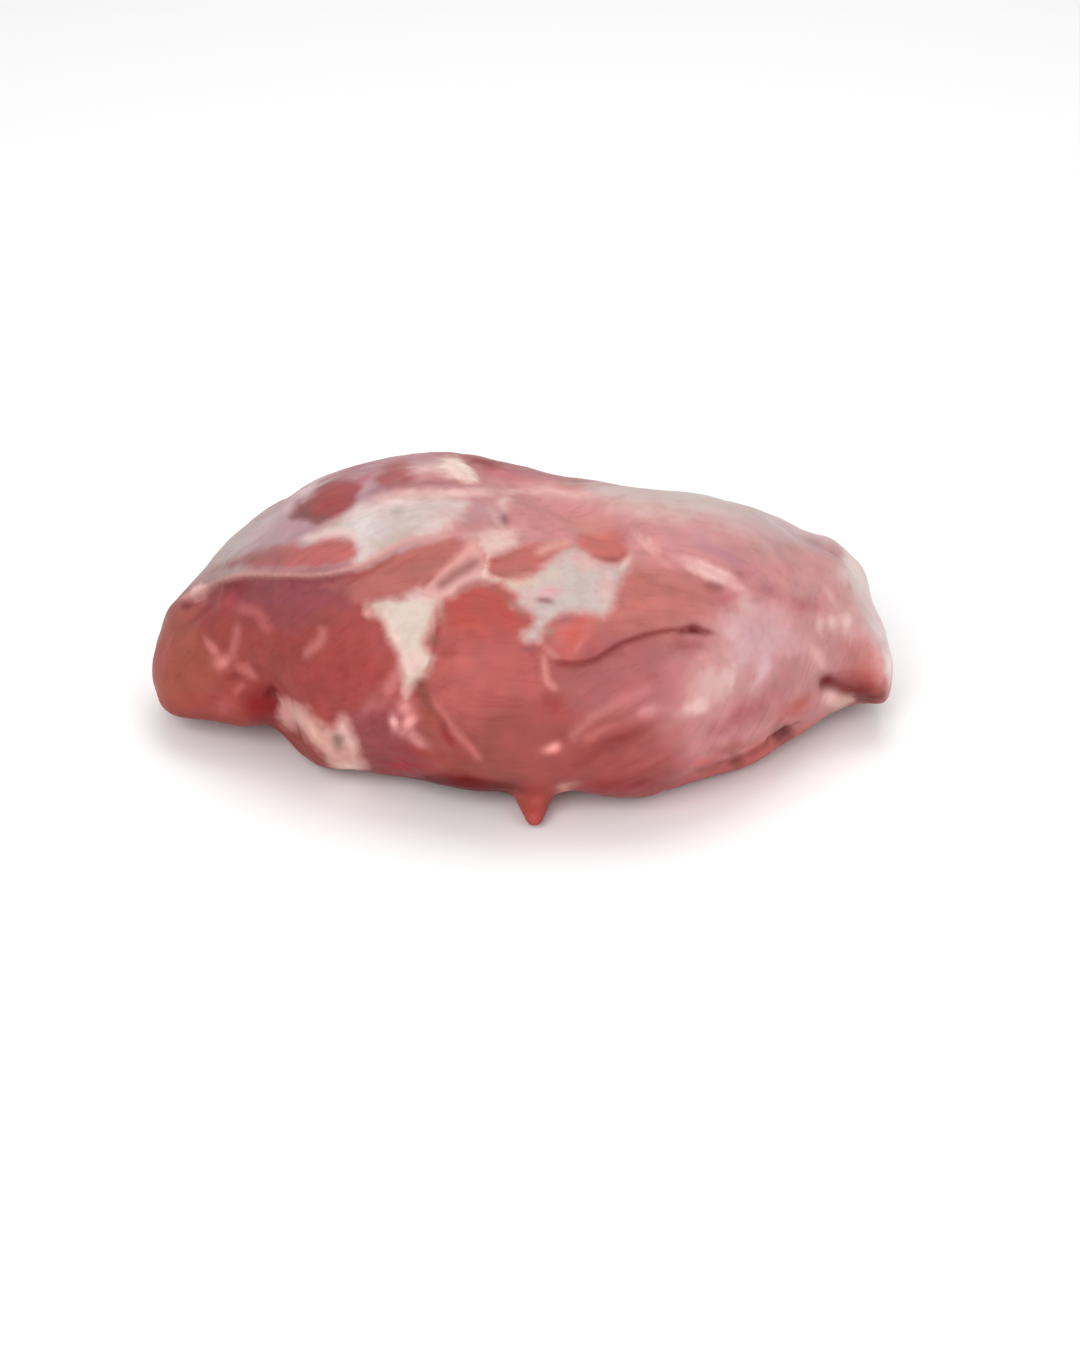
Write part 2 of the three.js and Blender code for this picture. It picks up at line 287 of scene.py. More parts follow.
SHOW_DABS = blobs_from_photo(Dab, [
    ("brown side of the lobe", RUSSET, 0.5, (184, 630), (12, 26), 0),
    ("red rim of the lobe", BLUSH, 0.4, (160, 668), (34, 6), 80),
    ("red foot of the lobe", (142, 50, 44), 0.6, (205, 717), (44, 6), -4),
    ("brown foot of the lobe", (150, 72, 64), 0.6, (194, 714), (9, 7), 0),
    ("pink corner of the lobe", VEIN, 0.35, (224, 708), (10, 9), 80),
    ("red under the lip", (148, 52, 54), 0.9, (226, 592), (30, 9), 14),
    ("crimson under the lip", (130, 42, 46), 0.8, (233, 584), (14, 5), 0),
    ("rosy red below it", (182, 74, 82), 0.8, (230, 601), (10, 7), 50),
    ("purple under the lip", PLUM, 0.7, (295, 594), (44, 13), 0),
    ("mauve below it", (150, 78, 80), 0.7, (284, 620), (30, 14), 0),
    ("dark dip under the lip", (146, 74, 82), 0.6, (308, 606), (16, 9), 0),
    ("red by the band", (164, 95, 90), 0.7, (342, 584), (14, 6), 20),
    ("middle of the star", (218, 134, 128), 0.9, (222, 661), (9, 7), 20),
    ("bright spot of the star", (208, 124, 122), 0.8, (213, 647), (7, 4), -56),
    ("grey spot of the lobe", (156, 84, 78), 0.6, (212, 690), (8, 6), 0),
    ("red under the end of the lip", (158, 64, 64), 0.9, (208, 613), (17, 15), 20),
    ("dark loop", (136, 56, 54), 0.85, (235, 675), (9, 4), 16),
    ("redder front", (164, 66, 70), 0.5, (318, 684), (36, 20), 0),
    ("dull side of the front", (170, 84, 82), 0.5, (378, 638), (22, 8), -64),
    ("pink side of the front", (208, 124, 122), 0.75, (392, 684), (22, 6), 62),
    ("grey film", ASH, 0.6, (247, 537), (28, 7), 38),
    ("lilac film", LILAC, 0.7, (272, 528), (22, 5), 15),
    ("dull pink over the lip", (164, 104, 100), 0.8, (232, 563), (26, 6), 20),
    ("dull pink by the window", (174, 104, 102), 0.85, (272, 560), (18, 6), 20),
    ("lilac by the upper window", (164, 122, 130), 0.9, (373, 492), (12, 5), 12),
    ("bright pink by the upper window", (198, 102, 116), 0.7, (365, 478), (11, 5), 40),
    ("rosy top", (178, 110, 116), 0.6, (352, 470), (20, 6), 28),
    ("mauve band", (170, 116, 120), 0.75, (436, 485), (44, 5), -3),
    ("pink by the cream", HOT_PINK, 0.6, (508, 477), (22, 5), -12),
    ("dark red top", (156, 78, 76), 0.9, (486, 464), (24, 6), -14),
    ("mauve hollow", (126, 58, 74), 0.9, (500, 521), (9, 8), 0),
    ("cream by the sheet", CREAM, 0.6, (504, 536), (14, 7), 15),
    ("dull top", (176, 120, 114), 0.65, (576, 480), (28, 4), -8),
    ("orange glow", (214, 142, 128), 0.7, (586, 524), (38, 10), -6),
    ("start of the grey top", ASH, 0.8, (616, 489), (26, 5), -8),
    ("grey top", ASH, 0.8, (690, 500), (60, 10), -10),
    ("grey shoulder", ASH, 0.7, (752, 518), (40, 10), -24),
    ("dark edge of the shoulder", (170, 122, 118), 0.8, (815, 543), (16, 4), -18),
    ("rosy upper right", (204, 140, 143), 0.8, (692, 538), (34, 12), -14),
    ("mauve by the ridge", (188, 128, 138), 0.7, (730, 558), (26, 8), -30),
    ("dark mauve by the ridge", (168, 108, 114), 0.85, (738, 574), (9, 5), -24),
    ("greyish right", (190, 150, 150), 0.7, (772, 550), (22, 10), -20),
    ("dark pink on the right", (184, 108, 114), 0.8, (766, 591), (18, 8), -12),
    ("dark spot below it", (146, 72, 80), 0.85, (757, 601), (6, 4), 0),
    ("deep pink on the right", (192, 108, 118), 0.8, (806, 605), (18, 9), -10),
    ("pink of the right shoulder", (176, 94, 98), 0.85, (836, 552), (10, 8), -50),
    ("face of the hook", (196, 126, 118), 0.85, (858, 652), (24, 12), -10),
    ("right of the hook", (232, 164, 160), 0.9, (878, 664), (22, 7), -84),
    # Painted shade under the hooked lobe
    ("under the hook", (124, 40, 36), 0.95, (858, 689), (25, 10), -6),
    ("tip of the hook", (112, 42, 44), 0.9, (872, 698), (14, 6), 8),
    # Painted shade in the corner of the hollow
    ("corner of the hollow", (110, 8, 10), 0.95, (828, 682), (9, 8), 0),
    # Painted light: brightened past its own colour to lift the shade below the hollow
    ("light under the hollow", (255, 206, 200), 0.9, (831, 697), (8, 8), 0),
    ("orange red over the fold", (188, 88, 78), 0.8, (795, 710), (22, 9), 36),
    ("grey brown edge", (186, 148, 136), 0.7, (832, 712), (20, 4), 32),
    ("purple between the streaks", (184, 130, 136), 0.5, (745, 684), (14, 6), 72),
    ("purple below the streaks", (178, 98, 107), 0.85, (740, 716), (18, 10), 60),
    ("mauve red under the cloud", (186, 96, 102), 0.6, (750, 712), (30, 10), 34),
    ("purple below", (184, 112, 120), 0.7, (716, 732), (16, 9), 20),
    ("pink side", (186, 112, 116), 0.7, (776, 688), (30, 12), 50),
    ("brown over the fold", (172, 90, 80), 0.75, (732, 748), (26, 6), 18),
    ("red patch", (160, 64, 60), 0.85, (555, 706), (14, 11), 0),
    ("dark streak", (142, 62, 58), 0.85, (618, 739), (28, 5), 26),
    ("second dark streak", (150, 64, 62), 0.6, (592, 758), (26, 5), 30),
    ("third dark streak", (150, 64, 62), 0.6, (640, 772), (22, 4), 22),
    ("pink streak", (184, 104, 100), 0.6, (664, 738), (30, 8), 28),
    ("pale streak at the foot", (186, 98, 96), 0.6, (652, 761), (26, 4), 24),
    ("pale patch by the streak", (202, 124, 126), 0.8, (640, 694), (16, 5), 24),
    ("second pale patch", (220, 150, 150), 0.7, (648, 709), (12, 6), 10),
    ("dark foot", (150, 50, 54), 0.8, (620, 786), (44, 6), 2),
    ("glow over the gash", (206, 118, 110), 0.5, (640, 606), (30, 10), 8),
    ("brown by the star", (186, 112, 110), 0.6, (624, 590), (8, 14), 0),
    # Painted shade under the flap over the gash
    ("shade under the gash", (154, 74, 68), 0.8, (684, 645), (24, 10), 8),
    # Painted shade in the opening of the gash
    ("mouth of the gash", (84, 0, 0), 1.0, (693, 629), (8, 6), 0),
    ("red over the gash", (196, 104, 112), 0.75, (724, 599), (12, 5), 10),
    ("bright top of the large muscle", (176, 82, 72), 0.7, (480, 604), (22, 8), 0),
    ("bright spot of the large muscle", (194, 102, 96), 0.5, (463, 658), (9, 4), 0),
    ("dark spot by the fat", (152, 64, 54), 0.7, (449, 652), (9, 4), 0),
    ("brown notch of the fat", (138, 92, 78), 0.9, (431, 638), (7, 7), 50),
    # Painted shade beside the large muscle's seam, in brown and red
    ("brown by the fat's neck", (108, 66, 58), 0.95, (417, 685), (12, 7), -74),
    ("brown beside the seam", (150, 78, 64), 0.9, (423, 706), (26, 8), -72),
    ("red by the seam", (150, 50, 48), 0.85, (447, 737), (20, 6), -56),
    ("pink left of the fat's foot", (180, 108, 106), 0.6, (370, 706), (18, 6), 50),
    ("purple strip", (152, 78, 80), 0.7, (362, 735), (20, 7), -70),
    ("red end of the strip", (150, 54, 48), 0.75, (426, 753), (26, 5), -10),
    ("crimson foot", (172, 44, 54), 0.95, (402, 765), (18, 6), -4),
    # Painted shade along the bottom edge
    ("dark bottom", (112, 0, 6), 0.95, (466, 781), (30, 8), -7),
    ("dark bottom's end", (106, 3, 6), 0.95, (498, 788), (18, 4), -4),
    ("bright middle of the tab", (200, 96, 86), 0.9, (573, 636), (18, 8), 66),
    ("brown left of the tab", (176, 130, 118), 0.85, (549, 630), (8, 7), 30),
    ("mauve top of the tab", (166, 100, 106), 0.8, (565, 621), (7, 5), 0),
    ("dark right of the tab", (182, 90, 84), 0.7, (594, 645), (8, 6), -40),
    ("pink under the neck", (224, 146, 144), 0.85, (405, 707), (8, 8), 0),
    ("left of it", (250, 180, 174), 0.95, (394, 722), (4, 7), 20),
    ("right of it", (248, 170, 164), 0.95, (407, 723), (9, 5), 52),
    ("its tail", (214, 140, 134), 0.85, (416, 739), (15, 5), -38),
    ("bright fat drop", (248, 158, 150), 1.0, (552, 748), (8, 5), 8),
    ("cream by the tag", (224, 158, 142), 0.85, (566, 787), (9, 4), 20),
    ("red strip on the right", (206, 84, 78), 0.55, (752, 748), (20, 4), 32),
    ("pink between the streaks", (206, 118, 112), 0.7, (600, 731), (20, 5), 28),
    ("shadow under the arm", (154, 88, 88), 0.7, (531, 648), (10, 4), 0),
    ("pink side of the large muscle", (186, 126, 120), 0.85, (441, 610), (4, 15), 8),
    ("bright end of the strip", (206, 96, 94), 0.7, (706, 763), (18, 5), 8),
])

# Film: thin milky silverskin, which breaks up into streaks and clouds where it is weak
SHOW_FILM = blobs_from_photo(Dab, [
    ("milky area", (216, 178, 183), 0.8, (750, 640), (28, 34), -10),
    ("top of the milky area", (212, 166, 163), 0.8, (743, 606), (7, 14), -20),
    ("edge by the gash", (222, 170, 168), 0.75, (734, 629), (6, 13), 10),
    ("milky area's foot", (220, 178, 174), 0.85, (716, 682), (18, 17), -30),
    ("cream foot", (214, 170, 166), 0.8, (702, 686), (12, 16), -24),
    ("bright streak", (238, 196, 190), 0.95, (697, 706), (14, 8), 14),
    ("curved streak", (228, 184, 182), 0.9, (722, 680), (18, 5), 66),
    ("long streak", (232, 194, 192), 0.85, (733, 678), (18, 5), 76),
    ("second long streak", (230, 188, 192), 0.85, (761, 674), (18, 6), 74),
    ("pink streak of the middle", (188, 112, 112), 0.5, (684, 664), (24, 6), 60),
    ("end of the ridge", (212, 156, 160), 0.6, (766, 611), (20, 8), -36),
    ("cloud beside it", (218, 172, 174), 0.8, (786, 638), (26, 11), -30),
    ("pink cloud", (232, 176, 178), 0.8, (788, 652), (9, 5), 0),
    ("first light of the fringe", (234, 190, 186), 0.95, (821, 627), (4, 10), 0),
    ("second light of the fringe", (234, 192, 188), 0.9, (834, 622), (5, 10), 0),
    ("third light of the fringe", (236, 198, 194), 0.9, (848, 622), (5, 11), 0),
    ("arc of the fringe", (224, 172, 170), 0.8, (829, 596), (14, 3), -54),
    ("beside the fringe", (214, 166, 166), 0.6, (858, 614), (12, 16), 0),
    ("rim", (238, 218, 210), 0.95, (861, 580), (42, 15), -64),
    ("lilac rim", (240, 216, 218), 0.9, (881, 626), (26, 8), -74),
    ("pale edge of the hook", (255, 232, 226), 0.95, (890, 666), (24, 5), -86),
    ("over the mauve", (206, 176, 174), 0.65, (764, 526), (40, 16), -24),
    ("grey top", (216, 200, 192), 0.8, (684, 499), (80, 14), -9),
    ("start of the grey top", (216, 196, 192), 0.8, (612, 492), (24, 5), -8),
    ("pale pink below it", (228, 182, 177), 0.75, (640, 512), (34, 10), -10),
    ("pale upper right", (212, 168, 168), 0.6, (722, 524), (70, 16), -14),
    ("left shoulder", (200, 186, 180), 0.6, (236, 540), (44, 8), 42),
    ("left lilac", (210, 180, 184), 0.8, (268, 524), (18, 6), 30),
    ("upper left", (230, 196, 196), 0.85, (306, 489), (20, 5), 32),
    ("between the windows", (188, 144, 148), 0.6, (300, 527), (26, 7), 5),
    ("pink left of the cream", (238, 196, 194), 0.9, (424, 468), (18, 5), 8),
    ("bright line over the sheet", (246, 200, 198), 0.95, (452, 493), (50, 5), 2),
    ("lilac end of the sheet", (196, 146, 150), 0.95, (478, 512), (22, 16), 30),
    ("pale corner of the sheet", (238, 204, 196), 0.95, (503, 503), (7, 8), -20),
    ("streak below the corner", (226, 184, 178), 0.7, (496, 520), (4, 13), 30),
    ("pale band below the sheet", (230, 190, 184), 0.9, (488, 536), (18, 6), 4),
    ("cream streak", (236, 186, 180), 0.8, (556, 493), (34, 5), -6),
])

# Sheets, patches and windows. In mm, soft is how far the edge is blurred and rise how high the patch is.
COVER = "cover"  # opaque silverskin or fat over the muscle
STAIN = "stain"  # muscle of another colour, or seen through a hole in what covers it
Patch = namedtuple("Patch", "name kind colour soft rise outline")
SHOW_PATCHES = curves_from_photo(Patch, [
    ("white sheet", COVER, (224, 204, 199), 4.0, 0.4, [
        (322, 530), (334, 522), (348, 512), (360, 505), (374, 499), (392, 497), (412, 496), (436, 496),
        (456, 498), (468, 503), (466, 512), (458, 522), (444, 530), (428, 537), (410, 543), (396, 550),
        (382, 557), (368, 564), (357, 568), (354, 562), (358, 552), (352, 541), (338, 536)]),
    ("top cream patch", COVER, (255, 230, 220), 2.2, 0.3, [
        (434, 468), (442, 462), (451, 459), (460, 459), (466, 465), (470, 472), (478, 479), (468, 480),
        (456, 477), (446, 475), (438, 473)]),
    ("central fat", COVER, (220, 202, 190), 3.4, 0.7, [
        (372, 604), (384, 600), (400, 600), (408, 594), (420, 590), (430, 593), (441, 591), (440, 602),
        (437, 613), (433, 624), (426, 633), (421, 641), (426, 648), (432, 656), (431, 665), (425, 676),
        (415, 682), (409, 690), (405, 699), (402, 690), (403, 678), (401, 662), (398, 650), (390, 638),
        (386, 624), (378, 615), (370, 613), (368, 609)]),
    ("star sheet", COVER, (202, 186, 181), 3.4, 0.5, [
        (500, 582), (512, 578), (530, 575), (545, 568), (556, 558), (566, 550), (578, 549), (590, 557),
        (603, 565), (616, 565), (626, 559), (632, 556), (628, 570), (620, 582), (616, 594), (612, 608),
        (602, 616), (590, 613), (575, 611), (562, 615), (550, 622), (543, 632), (541, 643), (530, 643),
        (522, 638), (530, 628), (534, 619), (522, 610), (512, 604), (517, 597), (508, 590)]),
    ("cream by the groove", COVER, (232, 198, 188), 2.6, 0.3, [
        (470, 549), (480, 540), (496, 534), (512, 538), (518, 544), (508, 550), (497, 553), (490, 562),
        (492, 574), (503, 579), (496, 585), (480, 581), (480, 570), (484, 560), (482, 552)]),
    ("fat along the groove", COVER, (218, 160, 152), 1.8, 0.4, [
        (478, 541), (468, 548), (456, 559), (444, 571), (432, 584), (424, 594), (436, 600), (448, 596),
        (460, 589), (472, 582), (484, 578), (490, 570), (484, 556)]),
    ("start of the fat ridge", COVER, (242, 190, 184), 2.2, 0.3, [
        (633, 534), (640, 534), (648, 538), (654, 544), (659, 552), (652, 551), (644, 546), (638, 540)]),
    ("fat ridge", COVER, (242, 200, 196), 2.6, 0.3, [
        (683, 561), (698, 563), (710, 567), (722, 572), (733, 579), (744, 588), (734, 587), (721, 582),
        (708, 578), (696, 571)]),
    ("bright end of the lip", COVER, (246, 208, 202), 2.0, 0.2, [
        (187, 597), (192, 590), (200, 586), (208, 586), (206, 592), (199, 597)]),
    ("lower left fat", COVER, (212, 160, 150), 3.4, 0.6, [
        (274, 700), (290, 702), (305, 708), (315, 718), (324, 725), (333, 726), (341, 718), (348, 720),
        (352, 730), (357, 742), (362, 754), (367, 768), (350, 774), (334, 769), (328, 759), (321, 749),
        (311, 738), (299, 728), (287, 724), (280, 716), (275, 707)]),
    ("cream spot in the hollow", COVER, (222, 184, 168), 3.0, 0.2, [
        (828, 700), (834, 694), (845, 694), (852, 698), (844, 704), (834, 708)]),
    ("lower window", STAIN, (194, 108, 105), 2.4, -0.3, [
        (260, 557), (276, 549), (292, 543), (303, 546), (312, 543), (322, 539), (336, 537), (350, 540),
        (357, 549), (352, 560), (336, 566), (312, 568), (290, 568), (270, 566)]),
    ("dull end of the lower window", STAIN, (168, 106, 102), 4, 0, [
        (244, 562), (260, 551), (278, 548), (284, 556), (276, 566), (256, 568)]),
    ("upper window", STAIN, (158, 82, 84), 2.4, -0.3, [
        (291, 517), (297, 504), (310, 494), (324, 483), (343, 479), (357, 482), (361, 490), (356, 501),
        (348, 512), (336, 520), (322, 522), (306, 518)]),
    ("bright middle of the upper window", STAIN, (172, 84, 80), 4, 0, [
        (316, 508), (324, 494), (340, 484), (350, 488), (346, 500), (332, 510)]),
    ("dark foot of the upper window", STAIN, (140, 84, 84), 3, 0, [
        (290, 518), (297, 502), (306, 505), (312, 514), (328, 518), (318, 524), (304, 520)]),
    ("top window", STAIN, (176, 96, 94), 3.4, -0.2, [
        (376, 482), (384, 466), (398, 461), (413, 465), (414, 480), (397, 488)]),
    ("red band", STAIN, (182, 106, 100), 2.6, 0.4, [
        (346, 588), (358, 577), (376, 566), (394, 556), (412, 547), (432, 542), (462, 541), (463, 552),
        (447, 566), (432, 580), (414, 590), (394, 598), (372, 600), (352, 600)]),
    ("dark edge of the band", STAIN, (166, 84, 78), 2, 0, [
        (338, 582), (352, 575), (368, 568), (384, 560), (398, 552), (392, 562), (374, 572), (356, 582)]),
    ("long orange window", STAIN, (192, 108, 100), 2.0, -0.3, [
        (489, 569), (494, 561), (508, 553), (524, 548), (542, 543), (560, 541), (568, 544), (560, 552),
        (545, 562), (530, 569), (512, 575), (496, 577)]),
    ("dark foot of the long window", STAIN, (172, 104, 94), 1.6, 0, [
        (489, 570), (498, 570), (514, 571), (526, 569), (516, 577), (496, 579)]),
    ("round orange window", STAIN, (208, 114, 106), 2.8, -0.3, [
        (578, 537), (590, 531), (606, 530), (620, 536), (628, 548), (626, 559), (614, 564), (600, 561),
        (588, 553), (578, 545)]),
    ("dark foot of the round window", STAIN, (166, 88, 84), 2, 0, [
        (594, 556), (612, 556), (626, 550), (625, 560), (612, 565)]),
    ("small tab", STAIN, (200, 108, 104), 3.4, 0.6, [
        (556, 626), (564, 618), (576, 616), (588, 619), (595, 628), (592, 640), (584, 650), (572, 660),
        (561, 658), (553, 648), (552, 636)]),
    # Blood red in the hollow under the lobe: blood and painted shade
    ("blood and shade under the lobe", STAIN, (138, 38, 38), 4.0, 0, [
        (243, 706), (250, 695), (260, 688), (272, 690), (280, 708), (277, 726), (264, 728), (250, 718)]),
])

# Tints: soft ovals of another colour within the sheets and the fat
SHOW_TINTS = blobs_from_photo(Dab, [
    ("pink top of the sheet", (248, 214, 210), 0.7, (394, 502), (26, 6), 0),
    ("pale left of the sheet", (236, 228, 224), 0.7, (364, 532), (16, 20), 20),
    ("green left end of the sheet", (176, 170, 152), 0.7, (336, 525), (10, 5), 20),
    ("dull foot of the sheet", (188, 170, 158), 0.8, (394, 542), (26, 8), 26),
    ("dull middle of the sheet", (206, 190, 188), 0.7, (402, 527), (22, 6), 20),
    ("pink right of the sheet", (226, 190, 185), 0.7, (446, 513), (14, 10), 0),
    ("pink top of the fat", (228, 180, 180), 0.85, (422, 596), (17, 6), 0),
    ("pink left tip", (196, 138, 124), 0.9, (370, 610), (11, 5), 0),
    ("pale side of the fat", (244, 206, 198), 0.8, (393, 634), (5, 18), 20),
    ("bright foot of the fat", (236, 194, 186), 0.75, (412, 664), (15, 12), 0),
    ("pink right side of the fat", (218, 184, 174), 0.8, (433, 616), (5, 18), 0),
    ("cream side of the star", (222, 190, 174), 0.9, (520, 582), (36, 9), 8),
    ("pink top of the star", (230, 182, 178), 0.85, (584, 560), (26, 8), -8),
    ("pink right of the star", (222, 182, 180), 0.85, (607, 588), (9, 28), 0),
    ("pink left of the star", (220, 180, 176), 0.7, (530, 598), (12, 9), 0),
    ("pink spot in the star", (224, 168, 172), 0.9, (548, 592), (11, 6), 0),
    ("dark edge of the spot", (150, 98, 98), 0.9, (545, 602), (9, 3), -6),
    ("pink corner of the lower fat", (228, 150, 150), 0.8, (283, 714), (6, 5), 0),
    ("bright band of the lower fat", (236, 186, 172), 0.85, (316, 734), (26, 6), -50),
    # Painted light: brightened past its own colour, as below the hollow
    ("pink end of the spot", (255, 200, 192), 0.9, (831, 697), (7, 7), 0),
    ("dull gap of the lower fat", (176, 128, 114), 0.8, (323, 728), (4, 5), 0),
    ("bright spike of the lower fat", (232, 182, 176), 0.8, (343, 726), (6, 8), 0),
    ("pale side of the lower fat", (232, 196, 188), 0.8, (351, 741), (4, 10), 16),
    ("grey spot of the lower fat", (140, 112, 96), 0.95, (338, 741), (5, 8), 18),
    ("pale foot of the lower fat", (255, 218, 208), 0.8, (350, 766), (13, 6), 0),
])

# Thin lines. width is half the line's width in mm, and strength 1 hides what is under it.
Line = namedtuple("Line", "name colour width strength points")
LIP = photo([
    (176, 605), (184, 601), (192, 599), (202, 594), (212, 588), (222, 583), (236, 579), (260, 577),
    (287, 578), (314, 578), (334, 576), (350, 572), (366, 566), (381, 558), (395, 551), (408, 545),
    (421, 542), (443, 540), (467, 539)])
GASH = photo([
    (549, 659), (562, 663), (575, 664), (594, 660), (607, 653), (620, 645), (639, 638), (661, 632),
    (682, 630), (693, 628), (704, 632), (722, 635)])
LARGE_MUSCLE_SEAM = photo([
    (434, 604), (435, 620), (432, 642), (427, 664), (416, 684), (424, 697), (433, 710), (442, 722),
    (451, 735), (461, 746), (470, 757), (478, 768), (487, 775), (497, 779), (510, 784)])
FAT_RIDGE = photo([
    (632, 532), (641, 537), (650, 544), (658, 553), (668, 559), (682, 561), (698, 566), (714, 572),
    (730, 579), (745, 588)])
GROOVE_BY_THE_FAT = photo([(484, 557), (470, 566), (456, 574), (445, 582), (432, 592)])
FOLD_UNDER_THE_LOBE = photo([(238, 692), (249, 690), (259, 688), (267, 692), (272, 700), (275, 709)])
LOWER_RIGHT_FOLD = photo([
    (806, 718), (793, 727), (779, 736), (764, 746), (749, 755), (735, 760), (722, 764), (705, 770),
    (688, 770), (670, 777), (652, 785)])
THIN_SEAM = photo([(541, 648), (544, 660), (545, 672), (547, 680), (553, 687), (560, 691)])

SHOW_THREADS = [
    Line("lip of the sheet", (214, 158, 151), 1.0, 0.85, LIP + [0, 1.1]),
    Line("edge of the large muscle", (210, 118, 112), 1.4, 0.8, LARGE_MUSCLE_SEAM[5:12] + [2.4, 0.8]),
    Line("thin seam", (228, 150, 143), 1.3, 0.8, THIN_SEAM),
] + curves_from_photo(Line, [
    ("upper edge of the groove", (226, 164, 155), 2.0, 0.7, [
        (478, 542), (468, 552), (456, 563), (444, 575), (432, 588)]),
    ("lower edge of the groove", (230, 178, 172), 2.1, 0.85, [
        (488, 573), (477, 578), (464, 584), (451, 592), (439, 602)]),
    ("tip of the central fat", (230, 164, 154), 1.5, 0.85, [(361, 616), (368, 613), (378, 611)]),
    ("neck of the fat", (222, 158, 152), 1.5, 0.85, [(405, 678), (406, 690), (405, 704)]),
    ("start of the fat ridge", (224, 158, 151), 1.1, 0.6, [
        (626, 526), (635, 533), (645, 542), (656, 553), (666, 562), (676, 572)]),
    ("fat ridge", (224, 164, 163), 1.2, 0.6, [
        (664, 554), (680, 560), (698, 567), (714, 574), (730, 581), (744, 591), (754, 603)]),
    ("fat ridge's tail", (222, 170, 170), 1.8, 0.5, [(742, 588), (748, 600), (757, 612), (772, 622)]),
    ("edge of the tab", (216, 140, 132), 1.3, 0.75, [(540, 640), (548, 650), (556, 657), (567, 659)]),
    ("fold in the tab", (216, 134, 128), 0.9, 0.5, [(570, 658), (577, 648), (585, 637)]),
    ("star's right spike", (238, 196, 186), 1, 0.8, [(618, 572), (625, 564), (634, 554)]),
    ("bright streak of the long window", (236, 170, 156), 1.7, 0.85, [
        (530, 557), (542, 551), (554, 546), (565, 543), (575, 540)]),
    ("pale seam", (208, 130, 126), 2.0, 0.6, [
        (566, 742), (578, 732), (590, 721), (602, 711), (620, 702), (640, 694)]),
    ("over the lower window", (242, 208, 200), 1.3, 0.85, [
        (294, 539), (312, 536), (328, 533), (343, 532), (354, 537), (360, 547)]),
    ("beside the upper window", (224, 184, 184), 1.8, 0.85, [(282, 520), (288, 508), (296, 496)]),
    ("star's left arm", (206, 120, 118), 1.1, 0.85, [(202, 632), (208, 642), (214, 650), (222, 661)]),
    ("star's upper arm", (198, 116, 116), 1.5, 0.8, [(239, 616), (237, 632), (234, 646), (227, 660)]),
    ("star's top", (196, 106, 106), 1.8, 0.75, [
        (231, 608), (245, 608), (257, 613), (265, 625), (272, 638)]),
    ("star's right arm", (208, 120, 115), 1.6, 0.85, [(230, 664), (243, 668), (252, 675), (259, 686)]),
    ("star's foot", (200, 108, 103), 1.3, 0.8, [(247, 679), (239, 689), (232, 700)]),
    ("vein in the front muscle", (202, 122, 118), 1.7, 0.8, [
        (298, 662), (310, 651), (319, 642), (322, 632), (315, 621)]),
    ("vein under the lip", VEIN, 1.2, 0.45, [(316, 590), (327, 585), (340, 592)]),
    ("lower fold's edge", (214, 138, 132), 1.0, 0.5, [
        (800, 716), (786, 724), (770, 735), (752, 746), (730, 755)]),
    ("line to the hollow", (236, 176, 172), 1.7, 1.0, [(808, 642), (815, 654), (822, 663), (829, 670)]),
])
# Dark lines: painted shade in the gash, the grooves and folds, under the lip's ledge and beside the fat
# ridge, with a few darker seams and marks
SHOW_SHADE_LINES = [
    Line("under the lip", WINE, 0.8, 0.5, LIP[2:12] - [0, 0.5]),
    Line("gash", (138, 50, 48), 1.1, 0.8, GASH),
    Line("large muscle's left side", ROSE, 0.8, 0.5, LARGE_MUSCLE_SEAM[:5] + [1.0, 0]),
    Line("large muscle's seam", SHADE_UMBER, 0.8, 0.5, LARGE_MUSCLE_SEAM[4:9] - [0.8, 0.4]),
    Line("groove by the fat", (156, 100, 98), 2.0, 0.95, GROOVE_BY_THE_FAT),
    Line("fold under the lobe", SHADE_MAROON, 1.2, 0.7, FOLD_UNDER_THE_LOBE[2:]),
    Line("lower right fold", (150, 66, 60), 1.1, 0.7, LOWER_RIGHT_FOLD[:9]),
] + curves_from_photo(Line, [
    ("dark end of the lip", (116, 52, 50), 1.2, 0.85, [(176, 606), (186, 606), (197, 604)]),
    ("mouth of the gash", (112, 16, 14), 1.2, 0.9, [
        (672, 632), (683, 631), (694, 630), (705, 632), (722, 635)]),
    ("corner of the hollow", (116, 34, 32), 2.4, 0.75, [(818, 680), (829, 683), (841, 685), (854, 688)]),
    ("dark top of the large muscle", (160, 98, 94), 1.5, 0.7, [
        (450, 598), (466, 587), (480, 583), (494, 587), (508, 598), (520, 612), (530, 624)]),
    ("corner of the fold", (84, 26, 24), 2.4, 0.85, [(261, 689), (267, 693), (272, 702)]),
    ("dark spot in the fold", (82, 8, 10), 2.6, 0.95, [(768, 742), (782, 734), (798, 726)]),
    ("second spot in the fold", (112, 50, 30), 2.4, 0.9, [(724, 766), (736, 761), (748, 755)]),
    ("shadow of the fat ridge", (146, 88, 86), 1.7, 0.9, [(700, 583), (714, 586), (730, 588)]),
    ("spot on the white sheet", (194, 172, 167), 1.9, 0.8, [(387, 513), (398, 512), (410, 509)]),
])

